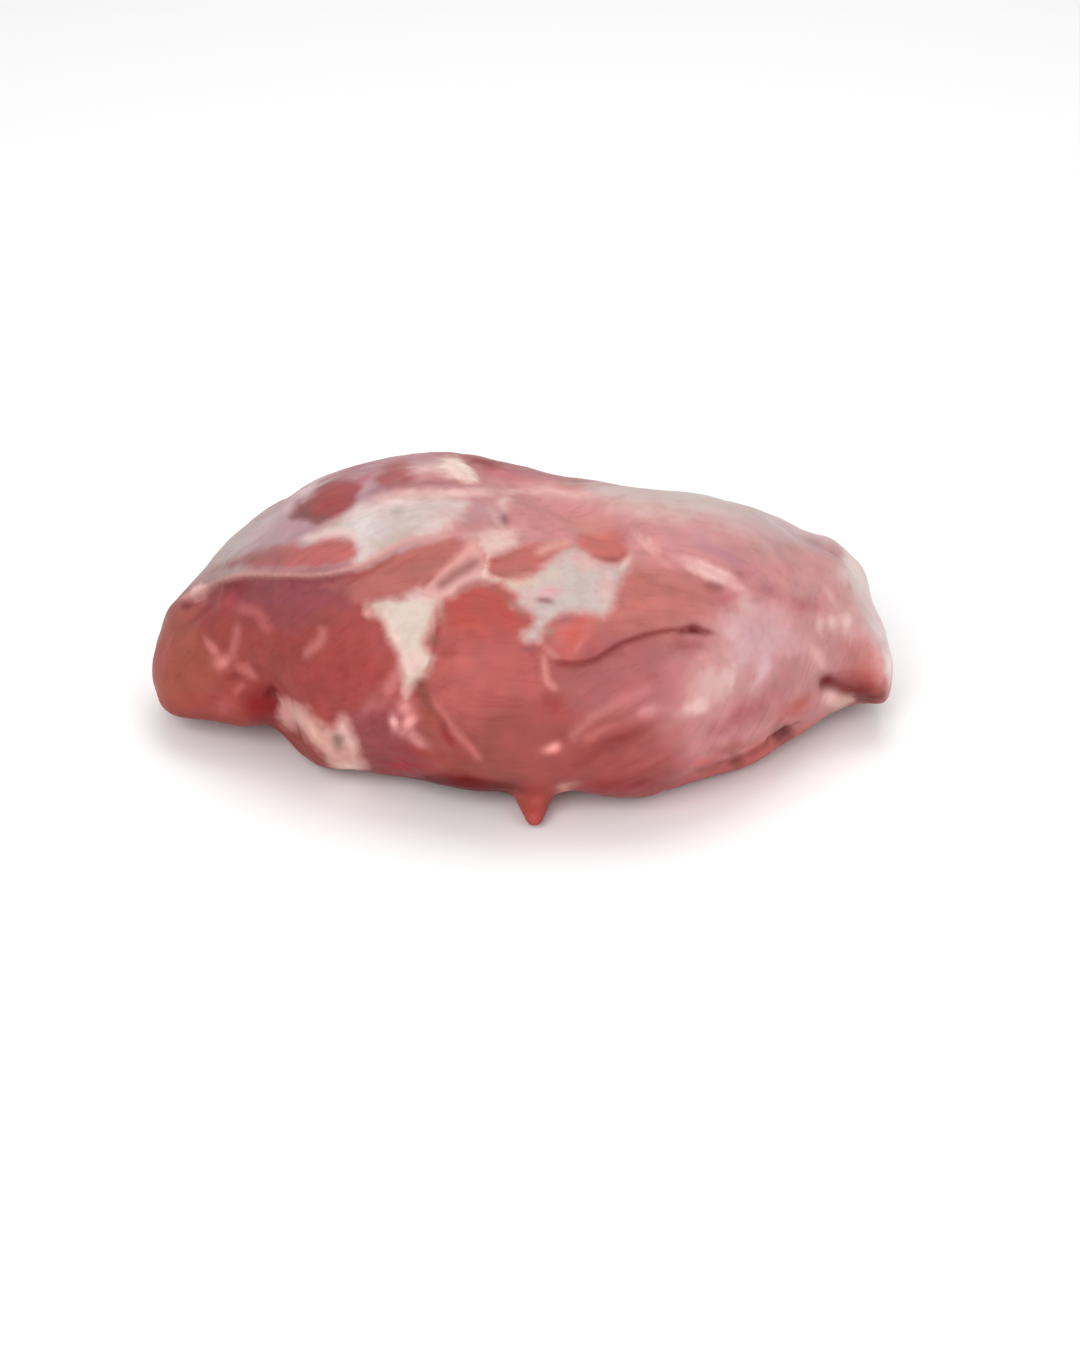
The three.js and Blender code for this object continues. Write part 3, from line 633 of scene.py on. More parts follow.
# Creases in the surface. A groove is sunk, and a ledge stands up on the left of its curve. Sizes are in mm.
GROOVE = "groove"
LEDGE = "ledge"
Crease = namedtuple("Crease", "name kind width height points")
SHOW_CREASES = [
    Crease("lip", LEDGE, 1.1, 1.1, LIP),
    Crease("gash", GROOVE, 1.5, 1.1, GASH),
    Crease("flap over the gash", LEDGE, 2.0, 1.0, GASH),
    Crease("large muscle's seam", GROOVE, 2.0, 1.2, LARGE_MUSCLE_SEAM[:9]),
    Crease("fat ridge", LEDGE, 1.8, 1.2, FAT_RIDGE),
    Crease("groove by the fat", GROOVE, 1.9, 0.5, GROOVE_BY_THE_FAT),
    Crease("fold under the lobe", GROOVE, 2.8, 2.2, FOLD_UNDER_THE_LOBE),
    Crease("lower right fold", GROOVE, 1.5, 1.1, LOWER_RIGHT_FOLD[:8]),
    Crease("opening of the fold", GROOVE, 1.6, 2.0, photo([(766, 743), (780, 735), (792, 728)])),
    Crease("thin seam", GROOVE, 1.4, 0.7, THIN_SEAM),
]
# Mounds, and dents where the height is below zero. Heights are in mm.
Mound = namedtuple("Mound", "name height middle radii turn")
SHOW_MOUNDS = blobs_from_photo(Mound, [
    ("roll beside the fat", 1.6, (378, 744), (26, 18), -70),
    ("strip under the fat", 1.2, (304, 744), (26, 10), -32),
    ("small tab", 1.0, (573, 640), (22, 16), 0),
    ("hooked lobe", 1.4, (862, 678), (22, 12), -12),
    ("blood and shade under the lobe", -1.2, (256, 702), (18, 10), -10),
    ("foot of the lobe", 1.2, (200, 700), (36, 14), -4),
    ("behind the crest", 1.6, (458, 468), (34, 4), -18),
    ("corner of the hollow", -2.2, (828, 682), (9, 8), 0),
])
# Nudges that bring the outline to the photograph's. Their radii, pushes and places are in its pixels.
Nudge = namedtuple("Nudge", "name radius push place")
NUDGES = [
    Nudge("left edge", 18, (2, 0), (150, 650)),
    Nudge("shoulder of the left lobe", 18, (-5, -5), (168, 610)),
    Nudge("left slope", 22, (-2, -3), (222, 548)),
    Nudge("upper left slope", 24, (0, 3), (288, 496)),
    Nudge("top", 60, (0, -2), (440, 453)),
    Nudge("dip of the top", 34, (0, 4), (554, 470)),
    Nudge("right of the top", 44, (0, 1), (690, 490)),
    Nudge("right slope", 22, (0, 6), (808, 526)),
    Nudge("right shoulder", 20, (5, -4), (862, 572)),
    Nudge("right edge", 16, (-2, 0), (890, 640)),
    Nudge("tip of the hook", 16, (1, 5), (880, 694)),
    Nudge("under the hook", 18, (1, 6), (838, 708)),
    Nudge("lower right", 16, (0, 4), (812, 724)),
    Nudge("bottom under the strip", 26, (0, 4), (752, 762)),
    Nudge("bottom on the right", 40, (0, 4), (642, 795)),
    Nudge("bottom by the tag", 20, (0, -5), (574, 796)),
    Nudge("side of the tag", 9, (-3, 0), (516, 802)),
    Nudge("bottom on the left", 44, (0, 3), (484, 790)),
    Nudge("lower left bulge", 26, (-2, 8), (324, 760)),
    Nudge("notch under the lobe", 20, (3, -10), (270, 736)),
    Nudge("foot of the lobe", 20, (-1, 2), (176, 716)),
]
# Creases too sharp for the photograph, smoothed away. Each has half a width and a curve, in pixels.
SOFTENED = [
    (10, [(410, 463), (436, 466), (462, 472), (484, 483), (520, 490), (560, 500)]),
    (12, [(829, 712), (797, 731), (765, 748), (735, 766), (704, 779), (670, 790)]),
    (9, [(838, 685), (850, 691), (862, 698), (872, 706)]),
    (9, [(278, 706), (283, 720), (289, 734)]),
    (10, [(446, 730), (457, 744), (470, 757), (487, 775), (505, 786)]),
]
SOFTENING_ROUNDS = 80

# The side that the photograph doesn't show, in mm on the rear plane: silverskin over long muscles
CLEFT = [(-78, 4), (-58, -5), (-43, -14), (-31, -23), (-22, -35), (-16, -48), (-14, -64)]
REAR_SEAM = [(-18, -60), (-6, -46), (8, -32), (24, -18), (44, -7), (62, -2)]
VALLEY = [(56, -11), (42, -21), (29, -34), (22, -48), (25, -64), (34, -80)]
FOOT_SEAM = [(-150, -46), (-124, -50), (-96, -58), (-66, -58), (-36, -66)]
REAR_MUSCLES = [
    Muscle("long muscle", (198, 118, 112), LEVEL, (-110, -26), (64, 16), 0),
    Muscle("its foot", (166, 80, 74), LEVEL, (-104, -60), (60, 20), 0),
    Muscle("its end", PINK, STEEP, (-158, -34), (12, 22), 0),
    Muscle("middle", (158, 70, 68), FALLING, (-14, -14), (44, 18), -12),
    Muscle("between the seams", (172, 84, 80), STEEP, (6, -62), (14, 22), 20),
    Muscle("right muscle", (188, 98, 90), RISING, (86, -36), (54, 22), 0),
    Muscle("right foot", ROSE, LEVEL, (86, -70), (60, 16), 0),
    Muscle("right end", (176, 96, 82), STEEP, (154, -36), (14, 22), 0),
]
REAR_DABS = [
    Dab("red back of the long muscle", BRICK, 0.7, (-112, -40), (30, 6), -3),
    Dab("mauve back of the long muscle", MAUVE, 0.5, (-70, -44), (24, 8), 6),
    # Blood and painted shade in the cleft
    Dab("blood and shade in the cleft", BLOOD_AND_SHADE, 0.8, (-18, -40), (6, 14), 12),
    Dab("dark foot", WINE, 0.7, (-64, -70), (46, 6), -2),
    Dab("deep red middle", (146, 54, 54), 0.7, (-8, -12), (26, 7), -14),
    Dab("pink by the seam", PINK, 0.6, (10, -20), (16, 5), 36),
    Dab("pale roll", SALMON, 0.6, (70, -32), (30, 6), 14),
    Dab("brown hollow", RUSSET, 0.7, (40, -46), (14, 7), 50),
    Dab("crimson patch", (160, 58, 62), 0.7, (104, -54), (20, 7), 8),
    Dab("second dark foot", WINE, 0.6, (70, -78), (44, 5), 2),
    Dab("brown end", RUSSET, 0.6, (148, -46), (12, 9), 40),
]
REAR_FILM = [
    Dab("edge of the silverskin", PALE_LILAC, 0.85, (-112, -16), (48, 7), 0),
    Dab("tongue of silverskin", (222, 186, 182), 0.8, (-52, -22), (26, 6), -10),
    Dab("silverskin over the middle", PALE_LILAC, 0.7, (-20, 0), (44, 6), -8),
    Dab("milky roll", PALE_LILAC, 0.75, (88, -20), (40, 7), -6),
    Dab("streak on the roll", (226, 178, 174), 0.7, (74, -32), (24, 3), 18),
    Dab("second streak on the roll", (222, 170, 166), 0.7, (104, -36), (26, 3), 12),
    Dab("streak on the long muscle", (222, 172, 168), 0.7, (-96, -52), (34, 3), 3),
    Dab("pale end", (220, 190, 184), 0.7, (-152, -30), (12, 14), 0),
]
REAR_PATCHES = [
    Patch("fat in the cleft", COVER, (222, 190, 180), 2.2, 0.5, [
        (-50, -8), (-38, -13), (-28, -20), (-20, -30), (-15, -42), (-13, -54), (-18, -52), (-23, -42),
        (-27, -34), (-33, -28), (-36, -22), (-43, -17)]),
    Patch("fat along the seam", COVER, (226, 198, 188), 2.4, 0.5, [
        (-14, -58), (-6, -48), (2, -38), (12, -30), (20, -20), (32, -14), (46, -6), (60, -1), (52, -8),
        (42, -12), (36, -20), (28, -24), (24, -33), (16, -36), (10, -43), (3, -46), (-2, -54),
        (-8, -60)]),
    Patch("sheet on the long muscle", COVER, (212, 190, 184), 3.0, 0.3, [
        (-148, -20), (-128, -17), (-104, -19), (-84, -18), (-64, -19), (-58, -25), (-74, -29), (-90, -26),
        (-102, -32), (-120, -33), (-136, -29)]),
    Patch("window in it", STAIN, (182, 88, 84), 2.2, -0.3, [
        (-122, -22), (-110, -20), (-98, -23), (-100, -28), (-112, -29)]),
    Patch("fat on the right end", COVER, (218, 178, 168), 3.4, 0.4, [
        (112, -20), (124, -16), (138, -18), (150, -26), (156, -38), (148, -40), (142, -32), (132, -28),
        (120, -29)]),
    Patch("fat at the foot", COVER, (214, 166, 155), 3.2, 0.3, [
        (18, -60), (24, -56), (32, -64), (44, -68), (58, -70), (50, -75), (36, -75), (26, -70)]),
]
REAR_TINTS = [
    Dab("pink of the cleft's fat", (232, 164, 156), 0.8, (-40, -14), (9, 5), -30),
    Dab("bright fat of the seam", (244, 218, 208), 0.8, (14, -32), (9, 5), 45),
    Dab("pink end of the seam's fat", (230, 166, 158), 0.8, (46, -8), (12, 5), 25),
    Dab("pink foot of the seam's fat", (226, 160, 152), 0.8, (-8, -54), (7, 6), 45),
    Dab("dull side of the sheet", (196, 158, 154), 0.7, (-134, -26), (12, 6), 0),
    Dab("bright side of the right fat", (238, 206, 194), 0.8, (130, -21), (10, 4), -10),
]
REAR_THREADS = [
    Line("edge of the cleft", THREAD, 1.0, 0.8, CLEFT),
    Line("edge of the seam", (226, 160, 152), 1.1, 0.8, np.array(REAR_SEAM) + [2.2, -2.2]),
    Line("valley", VEIN, 1.2, 0.7, VALLEY),
    Line("vein", VEIN, 0.8, 0.7, [(-4, -18), (-14, -12), (-28, -10), (-40, -2)]),
    Line("vein's branch", VEIN, 0.7, 0.6, [(-16, -11), (-20, -4), (-18, 4)]),
    Line("seam of the foot", THREAD, 0.9, 0.6, FOOT_SEAM),
    Line("vein on the right", VEIN, 0.9, 0.7, [(132, -44), (116, -46), (102, -42), (90, -46), (76, -44)]),
    Line("branch on the right", VEIN, 0.7, 0.6, [(104, -43), (98, -52), (86, -58)]),
]
# Dark lines: painted shade in the cleft, the seam and the valley
REAR_SHADE_LINES = [
    Line("cleft", SHADE_MAROON, 1.0, 0.8, CLEFT[1:]),
    Line("seam", (132, 54, 50), 1.1, 0.8, np.array(REAR_SEAM) - [1.2, -1.2]),
    Line("foot of the valley", SHADE_UMBER, 1.0, 0.6, VALLEY[2:]),
]
REAR_CREASES = [
    Crease("cleft", GROOVE, 2.2, 2.0, CLEFT),
    Crease("seam", GROOVE, 1.8, 1.6, REAR_SEAM),
    Crease("valley", GROOVE, 2.6, 1.4, VALLEY),
    Crease("seam of the foot", GROOVE, 1.6, 0.8, FOOT_SEAM),
]
REAR_MOUNDS = [
    Mound("right roll", 2.4, (92, -32), (42, 13), 6),
    Mound("right foot", 1.6, (84, -62), (34, 9), 4),
    Mound("left foot", 1.4, (-92, -68), (40, 8), 0),
    Mound("between the seams", 1.8, (4, -58), (9, 12), 30),
]
Side = namedtuple("Side", "view muscles dabs film patches tints threads cuts creases mounds")
SIDES = [
    Side(show, SHOW_MUSCLES, SHOW_DABS, SHOW_FILM, SHOW_PATCHES, SHOW_TINTS, SHOW_THREADS, SHOW_SHADE_LINES,
         SHOW_CREASES, SHOW_MOUNDS),
    Side(rear, REAR_MUSCLES, REAR_DABS, REAR_FILM, REAR_PATCHES, REAR_TINTS, REAR_THREADS, REAR_SHADE_LINES,
         REAR_CREASES, REAR_MOUNDS),
]
# A side's colours and its shape fade out between these two values of facing
SHOWN = (-0.3, 0.0)
SHAPED = (-0.35, 0.0)

# Swelling, lumps and fibres of the surface: size across and height, in mm
SWELLING = (24.0, 0.55)
LUMPS = (9.0, 0.2)
FIBRES = (4.2, 0.14)
FIBRE_STRETCH = 8.0
TABLE_FADE = 6.0 * MM  # relief grows from none at the table to all of it at this height
# Wandering of outlines and lines, size and width in mm, and of dabs, size in mm and width in radii
WANDER = (6.0, 1.1)
LINE_WANDER = (9.0, 0.6)
DAB_WANDER = (5.0, 0.35)
DRIFT_SHIFTS = (1.7, 9.1)  # where the noise is read for a line's wandering across and up
# Muscles blend where they meet: a higher power narrows the blend, and far ones still count a little
BLEND_POWER = 1.4
FAR_WEIGHT = 1e-3
# A line fades out at each end over some mm, held between two shares of its length, and thins there
FADING_END = 5.5
FADING_SHARES = (0.08, 0.45)
THIN_END = 0.55  # share of the line's width
# Beside a line its colour reaches some half widths, and then fades between two distances in mm
COLOUR_REACH = 2.5
COLOUR_FADE = (0.6, 2.4)
# Creases fade out at each end over a share of their length, and a ledge's foot is some widths wide
GROOVE_END = 0.12
LEDGE_END = 0.1
LEDGE_FOOT = 5
# In mm: the depths inside its outline where a patch rises, and the depths of groove where the muscle is
# tinted blood red, as blood and painted shade
PATCH_EDGE = (-0.8, 1.2)
SHADED_GROOVE_DEPTHS = (1.3, 3.2)
GROOVE_SHADE_SHARE = 0.5
LEAST_SHARE = 0.02  # points that softening moves less than this stay


def mesh_of(node):
    """A fine, even and smooth copy of a CAD node."""
    piece = node.copy()
    piece.data = node.data.copy()
    piece.data.materials.clear()
    bpy.context.scene.collection.objects.link(piece)
    for voxel, rounds in ((COARSE_VOXEL, FACET_SMOOTHING), (FINE_VOXEL, VOXEL_SMOOTHING)):
        remesh = piece.modifiers.new("even", "REMESH")
        remesh.mode = "VOXEL"
        remesh.voxel_size = voxel
        smooth = piece.modifiers.new("smooth", "SMOOTH")
        smooth.factor = 0.5
        smooth.iterations = rounds
    bpy.context.view_layer.update()
    shaped = piece.evaluated_get(bpy.context.evaluated_depsgraph_get())
    fine = bpy.data.meshes.new_from_object(shaped)
    piece.modifiers.clear()
    piece.data = fine
    return piece


def points_of(mesh):
    points = np.empty(3 * len(mesh.vertices))
    mesh.vertices.foreach_get("co", points)
    return points.reshape(-1, 3)


def normals_of(mesh):
    normals = np.empty(3 * len(mesh.vertices))
    mesh.vertex_normals.foreach_get("vector", normals)
    return normals.reshape(-1, 3)


def store(mesh, name, values):
    """Keeps a number or a colour for each point of the mesh."""
    if values.ndim == 1:
        mesh.attributes.new(name, "FLOAT", "POINT").data.foreach_set("value", values.astype(np.float32))
        return
    with_alpha = np.column_stack([values, np.ones(len(values))])
    layer = mesh.attributes.new(name, "FLOAT_COLOR", "POINT")
    layer.data.foreach_set("color", with_alpha.ravel().astype(np.float32))


def far_from(blob, places):
    """Distance from a blob's middle, where 1 is its rim."""
    turn = math.radians(blob.turn)
    away = places - blob.middle
    along = away[:, 0] * math.cos(turn) + away[:, 1] * math.sin(turn)
    across = away[:, 1] * math.cos(turn) - away[:, 0] * math.sin(turn)
    return np.hypot(along / blob.radii[0], across / blob.radii[1])


def tint(colours, colour, share):
    """Blends one colour into the colour of each point."""
    colours += (rgb(colour) - colours) * share[:, None]


def muscle_fields(muscles, places):
    """The blended colour, and how much of each grain there is, at each place."""
    colour = np.zeros((len(places), 3))
    grain = np.zeros((len(places), len(GRAIN_ANGLES)))
    total = np.zeros(len(places))
    for muscle in muscles:
        far = far_from(muscle, places)
        weight = bell(far) ** BLEND_POWER + FAR_WEIGHT / (1 + far**4)
        colour += weight[:, None] * rgb(muscle.colour)
        grain[:, muscle.grain] += weight
        total += weight
    return colour / total[:, None], grain / total[:, None]


def film_fields(film_dabs, places, broken):
    """How thick the film is at each place, and its colour."""
    film = np.zeros(len(places))
    colour = np.tile(rgb(PALE_LILAC), (len(places), 1))
    for dab in film_dabs:
        amount = dab.strength * bell(far_from(dab, places) + broken)
        tint(colour, dab.colour, amount / (film + amount + 1e-3))
        film = 1 - (1 - film) * (1 - amount)
    return film, colour


def patch_fields(patches, places, wander, lean):
    """The cover's colour, depth and softness, and the patches' rise. Stains go into lean."""
    cover = np.tile(rgb(MILK), (len(places), 1))
    cover_depth = np.full(len(places), -REACH)
    cover_soft = np.ones(len(places))
    rise = np.zeros(len(places))
    for patch in patches:
        depth = depth_inside(curve_through(patch.outline, closed=True), places) + wander
        rise += patch.rise * smoothstep(*PATCH_EDGE, depth)
        if patch.kind == COVER:
            deeper = depth > cover_depth
            cover[deeper] = rgb(patch.colour)
            cover_soft[deeper] = patch.soft
            cover_depth = np.maximum(cover_depth, depth)
        else:
            tint(lean, patch.colour, smoothstep(-patch.soft, patch.soft, depth))
            cover_depth = np.minimum(cover_depth, -depth)
    return cover, cover_depth, cover_soft, rise


def line_fields(lines, places):
    """For the nearest line at each place: the distance in half widths, its strength, and its colour."""
    across = np.full(len(places), REACH)
    near = np.zeros(len(places))
    colour = np.tile(rgb(THREAD), (len(places), 1))
    for line in lines:
        curve = curve_through(line.points)
        distance, _, passed = nearest(curve, places)
        length = np.linalg.norm(np.diff(curve, axis=0), axis=1).sum()
        strong = tapered(passed, np.clip(FADING_END / length, *FADING_SHARES))
        width = line.width * (THIN_END + (1 - THIN_END) * strong)
        hit = distance / width < across
        across[hit] = distance[hit] / width[hit]
        start, end = COLOUR_REACH * line.width + np.array(COLOUR_FADE)
        near[hit] = line.strength * strong[hit] * (1 - smoothstep(start, end, distance[hit]))
        colour[hit] = rgb(line.colour)
    return across, near, colour


def crease_fields(creases, places):
    """How far the creases move the surface, in mm, and how deep in a groove each place is."""
    rise = np.zeros(len(places))
    sunk = np.zeros(len(places))
    for crease in creases:
        distance, side, passed = nearest(curve_through(crease.points), places)
        across = side * distance / crease.width
        if crease.kind == GROOVE:
            depth = crease.height * bell(across) * tapered(passed, GROOVE_END)
            rise -= depth
            sunk = np.maximum(sunk, depth)
        else:
            edge = 0.5 * np.tanh(2 * across) + 0.5 * (across > 0)
            rise += crease.height * edge * bell(across / LEDGE_FOOT) * tapered(passed, LEDGE_END)
    return rise, sunk


def side_fields(points, normals, side):
    """All that one side lays on the surface, by name."""
    in_mm = points / MM
    facing = side.view.facing(points, normals)
    true_places = side.view.places(points)
    drift = np.column_stack([noise(in_mm, LINE_WANDER[0], shift) for shift in DRIFT_SHIFTS])
    places = true_places + LINE_WANDER[1] * drift
    wander = WANDER[1] * rough_noise(in_mm, WANDER[0], 2)
    broken = DAB_WANDER[1] * rough_noise(in_mm, DAB_WANDER[0], 2)
    lean, grain = muscle_fields(side.muscles, places)
    film, film_colour = film_fields(side.film, places, broken)
    cover, cover_depth, cover_soft, rise = patch_fields(side.patches, places, wander, lean)
    for colours, dabs in ((lean, side.dabs), (cover, side.tints)):
        for dab in dabs:
            tint(colours, dab.colour, dab.strength * bell(far_from(dab, places) + broken))
    creased, sunk = crease_fields(side.creases, true_places)
    rise += creased
    for mound in side.mounds:
        rise += mound.height * bell(far_from(mound, places))
    # Deep grooves tinted blood red: blood and painted shade
    tint(lean, BLOOD_AND_SHADE, GROOVE_SHADE_SHARE * smoothstep(*SHADED_GROOVE_DEPTHS, sunk))
    thread_across, thread_near, thread_colour = line_fields(side.threads, places)
    # Dark lines of painted shade
    cut_across, cut_near, cut_colour = line_fields(side.cuts, true_places)
    return {
        "lean": lean, "grain": grain[:, 1:], "rise": rise, "film": film, "film_colour": film_colour,
        "cover": cover, "cover_depth": cover_depth, "cover_soft": cover_soft,
        "thread_across": thread_across, "thread_near": thread_near, "thread_colour": thread_colour,
        "cut_across": cut_across, "cut_near": cut_near, "cut_colour": cut_colour,
        "shown": smoothstep(*SHOWN, facing), "shaped": smoothstep(*SHAPED, facing),
    }


def merged_fields(sides, count):
    """What the sides lay on each point, the show side's last, over plain muscle where neither is seen."""
    under = {
        "lean": rgb(ROSE), "grain": np.zeros(3), "rise": 0.0, "film": 0.0, "film_colour": rgb(PALE_LILAC),
        "cover": rgb(MILK), "cover_depth": -REACH, "cover_soft": 1.0,
        "thread_across": REACH, "thread_near": 0.0, "thread_colour": rgb(THREAD),
        "cut_across": REACH, "cut_near": 0.0, "cut_colour": rgb(SHADE_UMBER),
    }
    merged = {}
    for name, default in under.items():
        values = np.zeros((count,) + np.shape(default)) + default
        for side in reversed(sides):
            share = side["shaped" if name == "rise" else "shown"]
            share = share if values.ndim == 1 else share[:, None]
            values += (side[name] - values) * share
        merged[name] = values
    return merged


def nudge(points):
    """Pushes the points that the photograph's view shows near each nudge."""
    places = show.places(points)
    for each in NUDGES:
        far = np.linalg.norm(places - photo(each.place), axis=1) * PIXELS_PER_MM
        across, down = np.array(each.push) / PIXELS_PER_MM * MM
        points += bell(far / each.radius)[:, None] * (across * show.right - down * show.up)
    points[:, 2] = np.maximum(points[:, 2], 0)


def soften(points, mesh):
    """Smooths the surface along the curves of SOFTENED."""
    places = show.places(points)
    share = np.zeros(len(points))
    for half_width, curve in SOFTENED:
        far, _, _ = nearest(curve_through(photo(curve)), places)
        share = np.maximum(share, bell(far * PIXELS_PER_MM / half_width))
    ends = np.empty(2 * len(mesh.edges), int)
    mesh.edges.foreach_get("vertices", ends)
    ends = ends.reshape(-1, 2)
    ends = ends[share[ends].max(1) > LEAST_SHARE]
    moved = np.unique(ends)
    count = np.bincount(ends.ravel(), minlength=len(points))[moved][:, None]
    for _ in range(SOFTENING_ROUNDS):
        middle = np.zeros_like(points)
        np.add.at(middle, ends[:, 0], points[ends[:, 1]])
        np.add.at(middle, ends[:, 1], points[ends[:, 0]])
        points[moved] += 0.5 * share[moved, None] * (middle[moved] / count - points[moved])


def fibre_noise(points, grain):
    """Long lumps along each point's own grain."""
    level = 1 - grain.sum(1)
    total = np.zeros(len(points))
    for angle, share in zip(GRAIN_ANGLES, [level, *grain.T]):
        way = show.way(angle)
        squeezed = points - np.outer(points @ way, way) * (1 - 1 / FIBRE_STRETCH)
        total += share * rough_noise(squeezed, FIBRES[0], 2)
    return total


def dress(mesh):
    """Sculpts the mesh, and stores what its material reads."""
    points = points_of(mesh)
    normals = normals_of(mesh)
    nudge(points)
    soften(points, mesh)
    merged = merged_fields([side_fields(points, normals, side) for side in SIDES], len(points))
    rise = merged.pop("rise")
    in_mm = points / MM
    rise += SWELLING[1] * rough_noise(in_mm, SWELLING[0]) + LUMPS[1] * rough_noise(in_mm, LUMPS[0], 2)
    rise += FIBRES[1] * fibre_noise(in_mm, merged["grain"])
    rise *= smoothstep(0, TABLE_FADE, points[:, 2])
    points += normals * rise[:, None] * MM
    points[:, 2] = np.maximum(points[:, 2], 0)
    mesh.vertices.foreach_set("co", points.ravel())
    mesh.update()
    for name, values in merged.items():
        store(mesh, name, values)


# Shader nodes
def add(tree, kind, inputs=None, **settings):
    """A new node. An input's value is a number, a colour or another node's socket."""
    node = tree.nodes.new(kind)
    for name, value in settings.items():
        setattr(node, name, value)
    for name, value in (inputs or {}).items():
        if isinstance(value, bpy.types.NodeSocket):
            tree.links.new(value, node.inputs[name])
        else:
            node.inputs[name].default_value = value
    return node


def maths(tree, operation, first, second=0.0, third=0.0):
    node = add(tree, "ShaderNodeMath", {0: first, 1: second, 2: third}, operation=operation)
    return node.outputs[0]


def blend(tree, factor, first, second, mode="MIX"):
    node = add(tree, "ShaderNodeMix", {0: factor, 6: first, 7: second}, data_type="RGBA", blend_type=mode)
    return node.outputs[2]


def step(tree, value, low, high, start=0.0, end=1.0):
    """A smooth step from start to end as value goes from low to high."""
    inputs = {"Value": value, "From Min": low, "From Max": high, "To Min": start, "To Max": end}
    return add(tree, "ShaderNodeMapRange", inputs, interpolation_type="SMOOTHSTEP").outputs["Result"]


def stored(tree, name, output="Fac"):
    return add(tree, "ShaderNodeAttribute", attribute_name=name).outputs[output]


def speckle(tree, place, size, detail, roughness=0.5):
    """Noise about 0.5 whose blobs are about size mm across."""
    inputs = {"Vector": place, "Scale": 1 / size, "Detail": detail, "Roughness": roughness}
    return add(tree, "ShaderNodeTexNoise", inputs)


def streaks(tree, place, grain, size, stretch, detail, roughness):
    """Streaky noise along each point's own grain."""
    shares = add(tree, "ShaderNodeSeparateColor", {"Color": grain})
    total = None
    for angle, share in zip(GRAIN_ANGLES, [None, *shares.outputs]):
        turn = Vector(show.way(angle)).to_track_quat("X", "Z").to_euler()
        inputs = {"Vector": place, "Rotation": turn, "Scale": (stretch, 1, 1)}
        mapping = add(tree, "ShaderNodeMapping", inputs)
        mapping.vector_type = "TEXTURE"
        streak = speckle(tree, mapping.outputs["Vector"], size, detail, roughness).outputs["Fac"]
        if total is None:
            total = streak
        else:
            total = add(tree, "ShaderNodeMix", {0: share, 2: total, 3: streak}).outputs[0]
    return total


# The noises of the skin, from 0 to 1 with most near 0.5. mottle is a node, since its colour is used too.
Skin = namedtuple("Skin", "fibres mottle clouds ragged micro")
# Colours that multiply others: a slight correction of the muscle's, and of the fibres of muscle and fat
LEAN_BALANCE = (1.01, 1.025, 1.045, 1)
DARK_FIBRES = (0.93, 0.88, 0.88, 1)
DARK_FAT = (0.95, 0.9, 0.89, 1)
# The most that noise moves the edge of a fat patch, in mm, and of a line, in half widths
RAGGED_EDGE = 1.2
RAGGED_LINE = 0.6
# How high the bumps are, in mm
FIBRE_HEIGHT = 0.09
FAT_HEIGHT = 0.2
THREAD_HEIGHT = 0.2
WRINKLE_HEIGHT = 0.015
BUMP_STRENGTH = 0.6


def skin_noises(tree):
    coordinates = add(tree, "ShaderNodeTexCoord").outputs["Object"]
    place = add(tree, "ShaderNodeVectorMath", {0: coordinates, 3: 1 / MM}, operation="SCALE").outputs[0]
    grain = stored(tree, "grain", "Color")
    return Skin(
        fibres=streaks(tree, place, grain, size=3.2, stretch=8, detail=2, roughness=0.62),
        mottle=speckle(tree, place, size=10, detail=1),
        clouds=speckle(tree, place, size=4.5, detail=1.5).outputs["Fac"],
        ragged=speckle(tree, place, size=3.0, detail=2).outputs["Fac"],
        micro=speckle(tree, place, size=0.6, detail=2, roughness=0.55).outputs["Fac"],
    )


def lean_colour(tree, skin):
    """Muscle, mottled, darker and paler along its fibres. The palest is silverskin, streaked most."""
    lean = stored(tree, "lean", "Color")
    paleness = step(tree, add(tree, "ShaderNodeSeparateColor", {"Color": lean}).outputs["Green"], 0.14, 0.4)
    colour = blend(tree, 1.0, lean, LEAN_BALANCE, "MULTIPLY")
    colour = blend(tree, 0.07, colour, skin.mottle.outputs["Color"], "OVERLAY")
    colour = blend(tree, 0.15, colour, skin.mottle.outputs["Fac"], "OVERLAY")
    dark = blend(tree, 1.0, colour, DARK_FIBRES, "MULTIPLY")
    pale = blend(tree, step(tree, paleness, 0, 1, 0.01, 0.06), colour, (*rgb(BRIGHT_FAT), 1))
    colour = blend(tree, step(tree, skin.fibres, 0.34, 0.5), dark, colour)
    return blend(tree, step(tree, skin.fibres, 0.5, 0.72), colour, pale)


def with_film(tree, skin, colour):
    """Milky film over a colour, broken up by clouds and fibres."""
    torn = maths(tree, "MULTIPLY_ADD", skin.mottle.outputs["Fac"], 1.1, -0.05)
    torn = maths(tree, "MULTIPLY_ADD", skin.clouds, 0.6, torn)
    torn = maths(tree, "MULTIPLY_ADD", skin.fibres, 0.4, torn)
    mask = maths(tree, "MINIMUM", maths(tree, "MULTIPLY", stored(tree, "film"), torn), 0.95)
    return blend(tree, mask, colour, stored(tree, "film_colour", "Color"))


